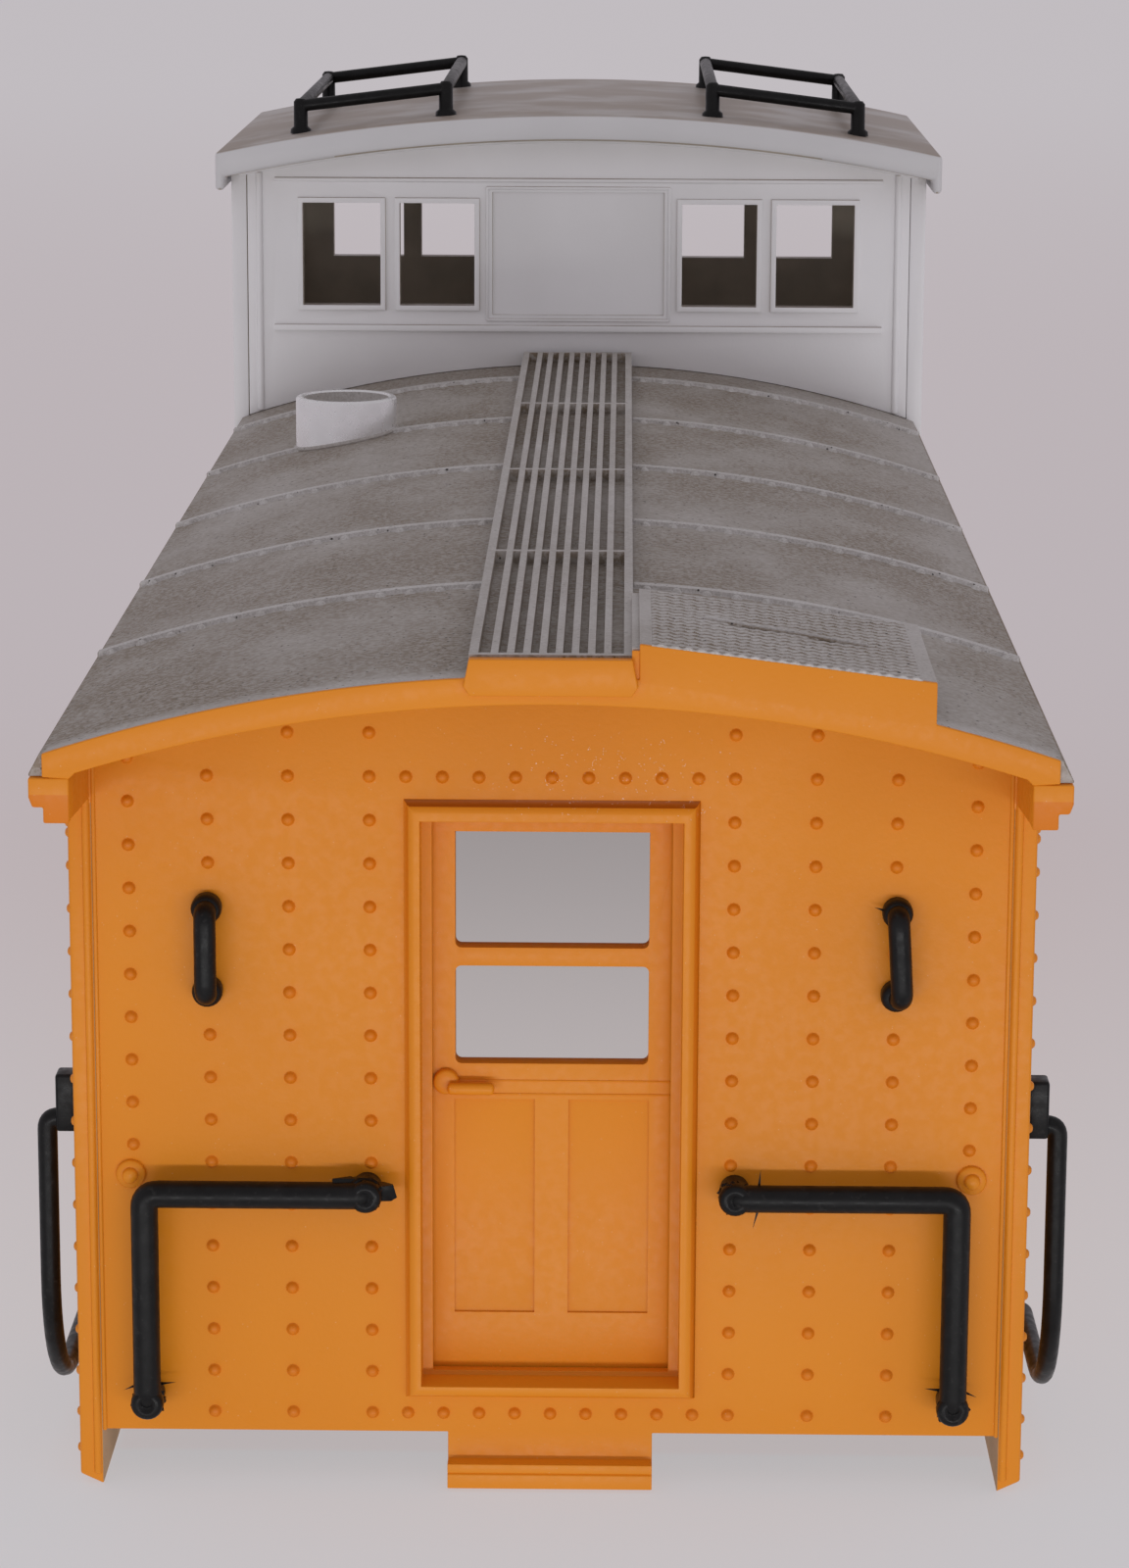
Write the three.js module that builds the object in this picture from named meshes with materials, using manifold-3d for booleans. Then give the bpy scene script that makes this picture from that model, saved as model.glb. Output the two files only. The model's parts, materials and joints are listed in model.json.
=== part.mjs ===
// Model caboose body, 1:48: a riveted body shell with hinged end doors, an arched
// roof with running boards, an extended cupola, a smokejack and black handrails.
// Millimetres. +Y runs along the car, +X across it and +Z up. The origin is below
// the middle of the body, in the plane of the skirt bottoms.

import * as THREE from 'three';
import { mergeVertices } from 'three/addons/utils/BufferGeometryUtils.js';
import Module from 'manifold-3d';

const wasm = await Module();
wasm.setup();

// ---------------------------------------------------------------- driving dimensions

const GAP = 0.05;              // air left between pieces that rest on each other

const BODY_HALF_WIDTH = 32.2;  // over the sides
const BODY_HALF_LENGTH = 110.9; // over the end walls
const SIDE_THICKNESS = 1.6;
const SIDE_TOP = 48.25;
const SKIRT_SLOPE = 0.75;      // rise of the skirt bottom from its inner to its outer edge
const POST_PROUD = 0.25;       // the sides stand this far past the end walls
const WALL_THICKNESS = 2.25;
const WALL_BOTTOM = 3.94;

const ROOF_RADIUS = 104.3;     // outer face of the roof arch
const ROOF_CROWN = 58.2;
const ROOF_HALF_WIDTH = 33.04;
const ROOF_THICKNESS = 1.85;
const ROOF_LIP_HALF_WIDTH = 33.74;
const ROOF_LIP_BOTTOM = 51.35;
const ROOF_OVERHANG = 7.3;
const RIB_SPACING = 28.3;
const RIB_WIDTH = 1;
const RIB_HEIGHT = 0.3;
const FASCIA_THICKNESS = 0.4;
const FASCIA_HALF_WIDTH = 32.83;
const RAIL_BOTTOM = 48.3;      // eave rail
const RAIL_INNER = 31.1;

const BOARD_HALF_WIDTH = 5.29; // running board
const BOARD_TOP = 59.55;
const BOARD_BAY = 39.55;       // pitch of the crossbars

const TREAD_INNER = 5.7;       // lateral tread platform, from the running board outwards
const TREAD_OUTER = 24.8;
const TREAD_TOP_INNER = 60.35;
const TREAD_TOP_OUTER = 57.95;
const TREAD_DEPTH = 20;

const CUPOLA_FRONT = 38.3;     // outer faces of the cupola's end walls
const CUPOLA_REAR = 86.1;
const CUPOLA_HALF_WIDTH = 33.9;
const CUPOLA_WALL = 1.5;
const CUPOLA_ROOF_RADIUS = 165;
const CUPOLA_CROWN = 82.8;
const CUPOLA_ROOF_THICKNESS = 2.5;
const CUPOLA_ROOF_HALF_WIDTH = 35.2;
const CUPOLA_OVERHANG = 3;
const CUPOLA_SKIRT_BOTTOM = 46.5;
const CUPOLA_SILL = 64;
const CUPOLA_HEAD = 74;

const FRAME_PROUD = 1.1;       // the door frame stands this far out from the wall
const FRAME_HALF_WIDTH = 9.85; // at its foot, as are the next two
const FRAME_BOTTOM = 6.5;
const FRAME_TOP = 48.35;
const FRAME_LEAN = 0.4;        // its outer faces slope in by this much
const STEP_HALF_WIDTH = 6.98;  // the step tab under the door
const STEP_PROUD = 1.25;
const STEP_TOP = 2.05;
const STEP_GROOVE = 1.37;
const STEP_BOTTOM = 0.3;
const DOOR_HALF_WIDTH = 8.75;
const DOOR_BOTTOM = 7.6;
const DOOR_TOP = 46.9;
const DOOR_FACE = WALL_THICKNESS + GAP;
const DOOR_THICKNESS = 1.5;
const HINGE_X = 9.45;
const HINGE_Y = DOOR_FACE + DOOR_THICKNESS;
const HINGE_RADIUS = 0.62;
const HINGE_BORE = 0.38;
const HINGE_PIN = 0.3;

const END_ROD = 0.93;          // radii of the moulded handrails: L-shaped ones on the ends,
const GRAB_ROD = 0.8;          // short ones on the ends,
const SIDE_ROD = 0.7;          // the ones on the sides,
const SLIM_ROD = 0.6;          // and the ones on the cupola roof
const SMOKEJACK_X = -20.5;
const SMOKEJACK_Y = 1.5;
const SMOKEJACK_RADIUS = 4.55;
const SMOKEJACK_BORE = 3.8;
const SMOKEJACK_TOP = 60;

// ---------------------------------------------------------------- materials

const paint = (color, roughness) => () =>
  new THREE.MeshStandardMaterial({ color, roughness, metalness: 0 });
const yellow = paint(0xd8842b, 0.45);
const silver = paint(0x8d8a86, 0.6);
const white = paint(0xd9d9dc, 0.5);
const black = paint(0x141416, 0.4);
const bright = () =>
  new THREE.MeshStandardMaterial({ color: 0xc4c4c8, roughness: 0.3, metalness: 0.8 });
const steel = () =>
  new THREE.MeshStandardMaterial({ color: 0x9a9a9c, roughness: 0.35, metalness: 1 });

// ---------------------------------------------------------------- solids

function solid(geometry) {
  const bare = geometry.clone();
  bare.deleteAttribute('normal');
  bare.deleteAttribute('uv');
  const merged = mergeVertices(bare, 1e-4);
  return new wasm.Manifold(new wasm.Mesh({
    numProp: 3,
    vertProperties: Float32Array.from(merged.attributes.position.array),
    triVerts: Uint32Array.from(merged.index.array),
  }));
}

function box(x0, x1, y0, y1, z0, z1) {
  const geometry = new THREE.BoxGeometry(x1 - x0, y1 - y0, z1 - z0);
  geometry.translate((x0 + x1) / 2, (y0 + y1) / 2, (z0 + z1) / 2);
  return solid(geometry);
}

// An outline of [x, z] points, extruded from y0 to y1.
function alongY(outline, y0, y1) {
  const shape = new THREE.Shape(outline.map(([x, z]) => new THREE.Vector2(x, z)));
  const geometry = new THREE.ExtrudeGeometry(shape, { depth: y1 - y0, bevelEnabled: false });
  geometry.rotateX(Math.PI / 2);
  geometry.translate(0, y1, 0);
  return solid(geometry);
}

// An outline of [y, z] points, extruded from x0 to x1.
function alongX(outline, x0, x1) {
  const shape = new THREE.Shape(outline.map(([y, z]) => new THREE.Vector2(y, z)));
  const geometry = new THREE.ExtrudeGeometry(shape, { depth: x1 - x0, bevelEnabled: false });
  geometry.applyMatrix4(new THREE.Matrix4().makeBasis(
    new THREE.Vector3(0, 1, 0), new THREE.Vector3(0, 0, 1), new THREE.Vector3(1, 0, 0)));
  geometry.translate(x0, 0, 0);
  return solid(geometry);
}

function upright(radius, x, y, z0, z1, sides = 12) {
  const geometry = new THREE.CylinderGeometry(radius, radius, z1 - z0, sides);
  geometry.rotateX(Math.PI / 2);
  geometry.translate(x, y, (z0 + z1) / 2);
  return solid(geometry);
}

// A round boss standing on a face that looks towards -Y.
function boss(radius, x, y0, y1, z, sides = 12) {
  const geometry = new THREE.CylinderGeometry(radius, radius, y1 - y0, sides);
  geometry.translate(x, (y0 + y1) / 2, z);
  return solid(geometry);
}

const join = (first, ...rest) => rest.reduce((sum, piece) => sum.add(piece), first);
const cut = (first, ...rest) => rest.reduce((left, piece) => left.subtract(piece), first);

function meshOf(name, body, material) {
  const { vertProperties, triVerts } = body.getMesh();
  const geometry = new THREE.BufferGeometry();
  geometry.setAttribute('position', new THREE.BufferAttribute(Float32Array.from(vertProperties), 3));
  geometry.setIndex(new THREE.BufferAttribute(Uint32Array.from(triVerts), 1));
  geometry.computeVertexNormals();
  const mesh = new THREE.Mesh(geometry, material());
  mesh.name = name;
  return mesh;
}

// A route that an extrusion follows point by point, instead of at even spacing.
class Route extends THREE.Curve {
  constructor(points) {
    super();
    this.points = points;
  }

  getPoint(t) {
    const last = this.points.length - 1;
    const at = Math.min(Math.max(t, 0), 1) * last;
    const i = Math.min(Math.floor(at), last - 1);
    return this.points[i].clone().lerp(this.points[i + 1], at - i);
  }

  getPointAt(t) {
    return this.getPoint(t);
  }

  getTangentAt(t) {
    const step = 1 / (this.points.length - 1);
    return this.getPoint(t + step).sub(this.getPoint(t - step)).normalize();
  }

  getSpacedPoints(divisions) {
    return Array.from({ length: divisions + 1 }, (_, i) => this.getPoint(i / divisions));
  }
}

// Corner points rounded to the given radius, with the straights between them.
function rounded(corners, radius, steps = 4) {
  const points = [corners[0]];
  for (let i = 1; i < corners.length - 1; i += 1) {
    const before = corners[i - 1].clone().sub(corners[i]).normalize();
    const after = corners[i + 1].clone().sub(corners[i]).normalize();
    const bend = new THREE.QuadraticBezierCurve3(
      corners[i].clone().addScaledVector(before, radius),
      corners[i],
      corners[i].clone().addScaledVector(after, radius));
    points.push(...bend.getPoints(steps));
  }
  points.push(corners[corners.length - 1]);
  return points;
}

function rod(points, radius, sides = 8) {
  const section = new THREE.Shape();
  section.absarc(0, 0, radius, 0, 2 * Math.PI);
  return solid(new THREE.ExtrudeGeometry(section, {
    steps: points.length - 1,
    curveSegments: sides,
    extrudePath: new Route(points),
  }));
}

const at = (x, y, z) => new THREE.Vector3(x, y, z);

// ---------------------------------------------------------------- roof arches

// Height of an arch with its crown at z = crown.
const archHeight = (x, radius, crown) => crown - radius + Math.sqrt(radius ** 2 - x ** 2);

function arc(radius, crown, x0, x1, steps = 24) {
  return Array.from({ length: steps + 1 }, (_, i) => {
    const x = x0 + ((x1 - x0) * i) / steps;
    return [x, archHeight(x, radius, crown)];
  });
}

// Everything below the roof's top face, for cutting what stands on it.
function underRoof(y0, y1) {
  const w = ROOF_LIP_HALF_WIDTH;
  const top = arc(ROOF_RADIUS + GAP, ROOF_CROWN + GAP, -ROOF_HALF_WIDTH, ROOF_HALF_WIDTH, 48);
  return alongY([[-w, 40], [-w, ROOF_LIP_BOTTOM], ...top, [w, ROOF_LIP_BOTTOM], [w, 40]], y0, y1);
}

// Everything above the roof's underside, for trimming what fits below it.
function aboveRoofUnderside(y0, y1) {
  const radius = ROOF_RADIUS - ROOF_THICKNESS - GAP;
  const crown = ROOF_CROWN - ROOF_THICKNESS - GAP;
  const edge = ROOF_LIP_HALF_WIDTH + 1;
  return alongY([...arc(radius, crown, -edge, edge, 48), [edge, 70], [-edge, 70]], y0, y1);
}

// ---------------------------------------------------------------- body sides

const WINDOW_BOTTOM = 27;
const WINDOW_TOP = 38;
const WINDOW_HALF = 4.6;
const SIDE_WINDOWS = [-78, -26, 20];

function side(name, sign) {
  const inner = BODY_HALF_WIDTH - SIDE_THICKNESS;
  const end = BODY_HALF_LENGTH + POST_PROUD;
  let plate = alongY([
    [inner, 0], [BODY_HALF_WIDTH, SKIRT_SLOPE],
    [BODY_HALF_WIDTH, SIDE_TOP], [inner, SIDE_TOP],
  ], -end, end);
  for (const y of SIDE_WINDOWS) {
    const [low, high] = [y - WINDOW_HALF, y + WINDOW_HALF];
    const surround = box(BODY_HALF_WIDTH - 0.3, BODY_HALF_WIDTH + 0.4,
      low - 0.9, high + 0.9, WINDOW_BOTTOM - 0.9, WINDOW_TOP + 0.9);
    plate = cut(join(plate, surround),
      box(inner - 1, BODY_HALF_WIDTH + 1, low, high, WINDOW_BOTTOM, WINDOW_TOP));
  }
  const mesh = meshOf(name, plate, yellow);
  if (sign < 0) mesh.rotation.z = Math.PI;
  return mesh;
}

// ---------------------------------------------------------------- one end of the body
// Local frame: the wall's outer face is the plane y = 0 and the inside is +Y.

function endWall() {
  const half = BODY_HALF_WIDTH - SIDE_THICKNESS - GAP;
  const ear = RAIL_INNER - GAP;
  const wall = alongY([
    [-half, WALL_BOTTOM], [half, WALL_BOTTOM], [half, RAIL_BOTTOM], [ear, RAIL_BOTTOM],
    [ear, 60], [-ear, 60], [-ear, RAIL_BOTTOM], [-half, RAIL_BOTTOM],
  ], 0, WALL_THICKNESS);
  const [w, foot, lean] = [FRAME_HALF_WIDTH, -0.05, FRAME_LEAN];
  const frame = wasm.Manifold.hull([
    box(-w, w, foot, 0.5, FRAME_BOTTOM, FRAME_TOP),
    box(lean - w, w - lean, -FRAME_PROUD, foot, FRAME_BOTTOM + lean, FRAME_TOP - lean),
  ]);
  const recess = box(-8.76, 8.76, -2, 1.4, 7.57, 47.05);
  const doorway = box(-8.05, 8.05, -2, 3, 7.87, 46.5);
  // The step under the door: a tongue with a tread bar along its lower edge.
  const step = alongX([
    [0, WALL_BOTTOM + 0.3], [0, STEP_TOP], [-STEP_PROUD, STEP_TOP],
    [-STEP_PROUD, STEP_GROOVE + 0.08], [0.15 - STEP_PROUD, STEP_GROOVE],
    [-STEP_PROUD, STEP_GROOVE - 0.08], [-STEP_PROUD, STEP_BOTTOM],
    [1.2, STEP_BOTTOM], [1.2, WALL_BOTTOM + 0.3],
  ].reverse(), -STEP_HALF_WIDTH, STEP_HALF_WIDTH);
  let body = cut(join(wall, frame, step), recess, doorway, aboveRoofUnderside(-3, 5));
  for (const [z0, z1] of HINGE_LUGS) {
    body = join(body,
      box(HINGE_X, HINGE_X + HINGE_RADIUS, WALL_THICKNESS - 0.2, HINGE_Y, z0, z1),
      upright(HINGE_RADIUS, HINGE_X, HINGE_Y, z0, z1));
  }
  return cut(body, upright(HINGE_BORE, HINGE_X, HINGE_Y, 0, 60));
}

const HINGE_LUGS = [[8.4, 10.4], [26, 28], [44, 46]];
const DOOR_KNUCKLES = [[10.6, 13.6], [28.2, 31.2], [40.8, 43.8]];
const DOOR_PANES = [[29.5, 36.34], [37.6, 45.63]];

function doorLeaf() {
  const [front, back] = [DOOR_FACE, DOOR_FACE + DOOR_THICKNESS];
  let leaf = box(-DOOR_HALF_WIDTH, DOOR_HALF_WIDTH, front, back, DOOR_BOTTOM, DOOR_TOP);
  for (const [z0, z1] of DOOR_PANES) {
    leaf = cut(leaf, box(-6.53, 6.53, front - 1, back + 1, z0, z1));
  }
  for (const [x0, x1] of [[-6.6, -1.14], [1.14, 6.6]]) {
    leaf = cut(leaf, box(x0, x1, front - 1, front + 0.25, 11.78, 26.99));
  }
  for (const [z0, z1] of DOOR_KNUCKLES) {
    leaf = join(leaf,
      box(DOOR_HALF_WIDTH - 0.2, HINGE_X, HINGE_Y - HINGE_RADIUS, HINGE_Y, z0, z1),
      upright(HINGE_RADIUS, HINGE_X, HINGE_Y, z0, z1));
  }
  return cut(leaf, upright(HINGE_BORE, HINGE_X, HINGE_Y, 0, 60));
}

// A round rose with a lever that points to the middle of the door.
function doorHandle() {
  const [x, z, face] = [-7.15, 28.4, DOOR_FACE - GAP];
  const lever = box(x + 0.2, -3.9, face - 1.25, face - 0.5, z - 0.7, z + 0.12);
  return join(boss(0.88, x, face - 0.6, face, z, 16), lever);
}

// An L-shaped handrail: in from the side at hip height, then down to the sill.
function endRail(sign) {
  const standoff = -2.2;
  const [inner, outer, high, low] = [12.4, 27.3, 21.5, 6.7];
  const bar = rod(rounded([
    at(inner, -GAP, high), at(inner, standoff, high), at(outer, standoff, high),
    at(outer, standoff, low), at(outer, -GAP, low),
  ], 1.1), END_ROD);
  const body = join(bar, boss(1.1, inner, standoff - 0.75, -GAP, high),
    boss(1.1, outer, standoff - 0.75, -GAP, low));
  return sign > 0 ? body : body.mirror([1, 0, 0]);
}

function endGrab(sign) {
  const [x, standoff, low, high] = [23, -2, 35.2, 40.9];
  const bar = rod(rounded([
    at(x, -GAP, high), at(x, standoff, high), at(x, standoff, low), at(x, -GAP, low),
  ], 1), GRAB_ROD);
  const body = join(bar, boss(1.05, x, -1.1, -GAP, high), boss(1.05, x, -1.1, -GAP, low));
  return sign > 0 ? body : body.mirror([1, 0, 0]);
}

// A handrail on the side by the corner: out at the top, down, round and back along the sill.
function sideRail(sign) {
  const face = BODY_HALF_WIDTH + GAP;
  const [x, y, top, bend, bottom, reach] = [34.45, 3.5, 25.1, 9.5, 4.3, 25];
  const sweep = Array.from({ length: 7 }, (_, i) => {
    const angle = (Math.PI / 2) * (i / 6);
    return at(x, y + bend * (1 - Math.cos(angle)), bottom + bend * (1 - Math.sin(angle)));
  });
  const bar = rod([
    ...rounded([at(face, y, top), at(x, y, top), sweep[0]], 0.9).slice(0, -1),
    ...sweep,
    ...rounded([sweep[6], at(x, reach, bottom), at(face, reach, bottom)], 0.9).slice(1),
  ], SIDE_ROD);
  const block = box(face, face + 1.5, y - 1, y + 1, top - 0.75, top + 3.3);
  const body = join(bar, block);
  return sign > 0 ? body : body.mirror([1, 0, 0]);
}

// The yellow end of the roof: the arch band, the end of the running board and the
// riser that closes the tread platform.
function roofFascia() {
  const front = -ROOF_OVERHANG - FASCIA_THICKNESS;
  const [w, low] = [FASCIA_HALF_WIDTH, ROOF_LIP_BOTTOM];
  const band = alongY([
    ...arc(ROOF_RADIUS, ROOF_CROWN, -w, w, 48),
    [w, low], [RAIL_INNER, low - 0.1],
    ...arc(ROOF_RADIUS - ROOF_THICKNESS, ROOF_CROWN - ROOF_THICKNESS, RAIL_INNER - 0.4,
      0.4 - RAIL_INNER, 48),
    [-RAIL_INNER, low - 0.1], [-w, low],
  ], front, -ROOF_OVERHANG);
  const riser = alongY([
    [TREAD_INNER, 57], [TREAD_OUTER, 54.5],
    [TREAD_OUTER, TREAD_TOP_OUTER], [TREAD_INNER, TREAD_TOP_INNER],
  ], front, -ROOF_OVERHANG);
  const boardEnd = alongY([
    [-5.25, 59.4], [-5.6, 57.6], [-5.2, 57], [5.2, 57], [5.6, 57.6], [5.25, 59.4],
  ], front - 0.5, -ROOF_OVERHANG);
  return join(band, riser, boardEnd);
}

// A sloping platform beside the running board, with its treadplate on top.
function treadPlatform() {
  const slab = alongY([
    [TREAD_INNER, 50], [TREAD_OUTER, 50],
    [TREAD_OUTER, TREAD_TOP_OUTER], [TREAD_INNER, TREAD_TOP_INNER],
  ], -ROOF_OVERHANG, TREAD_DEPTH - ROOF_OVERHANG);
  return cut(slab, underRoof(-20, 20));
}

function addEnd(group, place) {
  const hand = { '-1': 'left', 1: 'right' };
  group.add(
    meshOf(`end_wall_${place}`, endWall(), yellow),
    meshOf(`door_${place}`, doorLeaf(), yellow),
    meshOf(`door_handle_${place}`, doorHandle(), yellow),
    meshOf(`hinge_pin_${place}`, upright(HINGE_PIN, HINGE_X, HINGE_Y, 8.2, 46.2, 10), steel),
    meshOf(`roof_fascia_${place}`, roofFascia(), yellow),
    meshOf(`tread_platform_${place}`, treadPlatform(), silver),
  );
  for (const sign of [-1, 1]) {
    group.add(
      meshOf(`end_rail_${place}_${hand[sign]}`, endRail(sign), black),
      meshOf(`end_grab_${place}_${hand[sign]}`, endGrab(sign), black),
      meshOf(`side_rail_${place}_${hand[sign]}`, sideRail(sign), black),
    );
  }
  return group;
}

// ---------------------------------------------------------------- roof

// The raised strip over a joint in the roof's sheets, with some air round it if asked.
function roofRib(y, air = 0) {
  const [w, rise, half] = [ROOF_HALF_WIDTH, RIB_HEIGHT + air, RIB_WIDTH / 2 + air];
  return alongY([
    ...arc(ROOF_RADIUS + rise, ROOF_CROWN + rise, -w, w, 48),
    ...arc(ROOF_RADIUS - 0.5, ROOF_CROWN - 0.5, w, -w, 48),
  ], y - half, y + half);
}

function roof() {
  const end = BODY_HALF_LENGTH + ROOF_OVERHANG;
  const [w, lip, low] = [ROOF_HALF_WIDTH, ROOF_LIP_HALF_WIDTH, ROOF_LIP_BOTTOM];
  const inside = Math.sqrt((ROOF_RADIUS - ROOF_THICKNESS) ** 2 - (low - ROOF_CROWN + ROOF_RADIUS) ** 2);
  let body = alongY([
    ...arc(ROOF_RADIUS, ROOF_CROWN, -w, w, 48), [lip, low + 0.15], [lip, low],
    ...arc(ROOF_RADIUS - ROOF_THICKNESS, ROOF_CROWN - ROOF_THICKNESS, inside, -inside, 48),
    [-lip, low], [-lip, low + 0.15],
  ], -end, end);
  for (let k = -3; k <= 1; k += 1) {
    body = join(body, roofRib(k * RIB_SPACING));
  }
  // The plate is flush with the body sides where the cupola hangs over them.
  for (const sign of [-1, 1]) {
    const [a, b] = [sign * (CUPOLA_HALF_WIDTH - CUPOLA_WALL - 0.15), sign * 40];
    body = cut(body, box(Math.min(a, b), Math.max(a, b),
      CUPOLA_FRONT - GAP, CUPOLA_REAR + GAP, 45, 60));
  }
  // The ribs stop at the running board.
  const clear = BOARD_HALF_WIDTH + GAP;
  return cut(body, box(-clear, clear, -end, CUPOLA_FRONT, ROOF_CROWN + 0.05, 60));
}

// The stepped gutter moulding below the roof's edge, from y0 to y1.
function eaveRail(name, sign, y0, y1) {
  const body = alongY([
    [RAIL_INNER, RAIL_BOTTOM], [32.8, RAIL_BOTTOM], [32.8, 49.35], [33.5, 49.35],
    [ROOF_LIP_HALF_WIDTH, 50], [ROOF_LIP_HALF_WIDTH, ROOF_LIP_BOTTOM - GAP],
    [RAIL_INNER, ROOF_LIP_BOTTOM - GAP],
  ], y0, y1);
  return meshOf(name, sign > 0 ? body : body.mirror([1, 0, 0]), yellow);
}

// Slats on a thin web, with crossbars, from y0 to y1.
function runningBoard(y0, y1) {
  const [w, base, web] = [BOARD_HALF_WIDTH, ROOF_CROWN + 0.1, ROOF_CROWN + 0.45];
  let body = box(-w, w, y0, y1, base, web);
  const slat = (x, half) => box(x - half, x + half, y0, y1, web - 0.1, BOARD_TOP);
  for (const sign of [-1, 1]) {
    body = join(body, slat(sign * (w - 0.3), 0.3));
  }
  const pitch = (2 * w - 1.2) / 9;
  for (let i = 1; i <= 8; i += 1) {
    body = join(body, slat(-w + 0.6 + i * pitch, 0.24));
  }
  for (let y = y0; y < y1; y += BOARD_BAY) {
    body = join(body, box(-w, w, y, Math.min(y + 0.7, y1), web - 0.1, BOARD_TOP));
  }
  return join(body, box(-w, w, y1 - 0.7, y1, web - 0.1, BOARD_TOP));
}

function smokejack() {
  const tube = upright(SMOKEJACK_RADIUS, SMOKEJACK_X, SMOKEJACK_Y, 53, SMOKEJACK_TOP, 28);
  const bore = upright(SMOKEJACK_BORE, SMOKEJACK_X, SMOKEJACK_Y, 57.4, 62, 28);
  return cut(tube, bore, underRoof(-10, 15), roofRib(0, GAP));
}

// ---------------------------------------------------------------- cupola

const CUPOLA_PANES = [[10.15, 17.45], [19.35, 26.95]];

// Everything above the underside of the cupola's roof.
function aboveCupolaWalls(y0, y1) {
  const radius = CUPOLA_ROOF_RADIUS - CUPOLA_ROOF_THICKNESS - GAP;
  const crown = CUPOLA_CROWN - CUPOLA_ROOF_THICKNESS - GAP;
  return alongY([...arc(radius, crown, -36, 36, 32), [36, 95], [-36, 95]], y0, y1);
}

// An end wall of the cupola, in a local frame whose plane y = 0 is its outer face.
function cupolaEnd() {
  const half = CUPOLA_HALF_WIDTH - CUPOLA_WALL - GAP;
  const wall = box(-half, half, 0, CUPOLA_WALL, 50, 90);
  const drip = box(-29.8, 29.8, -0.5, 0.5, 61.5, 62.1);
  const panel = box(-8.4, 8.4, -1, 0.3, 63.1, 75.1);
  let body = cut(join(wall, drip), panel, underRoof(-5, 5), aboveCupolaWalls(-5, 5));
  for (const sign of [-1, 1]) {
    for (const pane of CUPOLA_PANES) {
      const [a, b] = pane.map((x) => sign * x).sort((p, q) => p - q);
      body = join(body, box(a - 0.5, b + 0.5, -0.3, 0.5, CUPOLA_SILL - 0.5, CUPOLA_HEAD + 0.5));
      body = cut(body, box(a, b, -1, 3, CUPOLA_SILL, CUPOLA_HEAD));
    }
  }
  return body;
}

// A side wall of the cupola: it hangs outside the eave and tucks in below it.
function cupolaSide(name, sign) {
  const [outer, inner, low] = [CUPOLA_HALF_WIDTH, CUPOLA_HALF_WIDTH - CUPOLA_WALL, CUPOLA_SKIRT_BOTTOM];
  let body = alongY([
    [inner, low + 2], [BODY_HALF_WIDTH + 0.1, low + 0.6], [BODY_HALF_WIDTH + 0.1, low],
    [BODY_HALF_WIDTH + 0.5, low], [outer, low + 2], [outer, 90], [inner, 90],
  ], CUPOLA_FRONT, CUPOLA_REAR);
  const middle = (CUPOLA_FRONT + CUPOLA_REAR) / 2;
  for (const y of [middle - 10, middle + 10]) {
    body = join(body, box(outer - 0.3, outer + 0.35, y - 7.4, y + 7.4, CUPOLA_SILL - 0.9, CUPOLA_HEAD + 0.9));
    body = cut(body, box(inner - 1, outer + 1, y - 6.5, y + 6.5, CUPOLA_SILL, CUPOLA_HEAD));
  }
  body = cut(body, aboveCupolaWalls(CUPOLA_FRONT - 1, CUPOLA_REAR + 1));
  return meshOf(name, sign > 0 ? body : body.mirror([1, 0, 0]), white);
}

function cupolaRoof() {
  const [w, radius, crown] = [CUPOLA_ROOF_HALF_WIDTH, CUPOLA_ROOF_RADIUS, CUPOLA_CROWN];
  const inner = w - 0.9;
  return alongY([
    ...arc(radius, crown, -w, w, 32),
    [w, archHeight(w, radius, crown) - 3.6], [inner, archHeight(w, radius, crown) - 3.6],
    ...arc(radius - CUPOLA_ROOF_THICKNESS, crown - CUPOLA_ROOF_THICKNESS, inner, -inner, 32),
    [-inner, archHeight(w, radius, crown) - 3.6], [-w, archHeight(w, radius, crown) - 3.6],
  ], CUPOLA_FRONT - CUPOLA_OVERHANG, CUPOLA_REAR + CUPOLA_OVERHANG);
}

// A rectangular ring of rod on four posts, for holding on to on the cupola's roof.
function cupolaRail(name, sign) {
  const [x0, x1, y0, y1] = [13, 27.3, CUPOLA_FRONT + 3, CUPOLA_REAR - 3];
  const height = (x) => archHeight(x, CUPOLA_ROOF_RADIUS, CUPOLA_CROWN) + 2.6;
  const bar = (a, b) => rod([a, b], SLIM_ROD);
  const corners = [[x0, y0], [x1, y0], [x1, y1], [x0, y1]].map(([x, y]) => at(x, y, height(x)));
  let body = null;
  corners.forEach((corner, i) => {
    const next = corners[(i + 1) % 4];
    const foot = archHeight(corner.x, CUPOLA_ROOF_RADIUS, CUPOLA_CROWN) + 0.12;
    const piece = join(bar(corner, next),
      upright(0.75, corner.x, corner.y, foot, corner.z + 0.75, 10));
    body = body ? join(body, piece) : piece;
  });
  return meshOf(name, sign > 0 ? body : body.mirror([1, 0, 0]), black);
}

// ---------------------------------------------------------------- assembly

const caboose = new THREE.Group();

const frontEnd = addEnd(new THREE.Group(), 'front');
frontEnd.position.y = -BODY_HALF_LENGTH;
const rearEnd = addEnd(new THREE.Group(), 'rear');
rearEnd.position.y = BODY_HALF_LENGTH;
rearEnd.rotation.z = Math.PI;

caboose.add(frontEnd, rearEnd, side('side_left', -1), side('side_right', 1));
caboose.add(meshOf('roof', roof(), silver));

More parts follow.
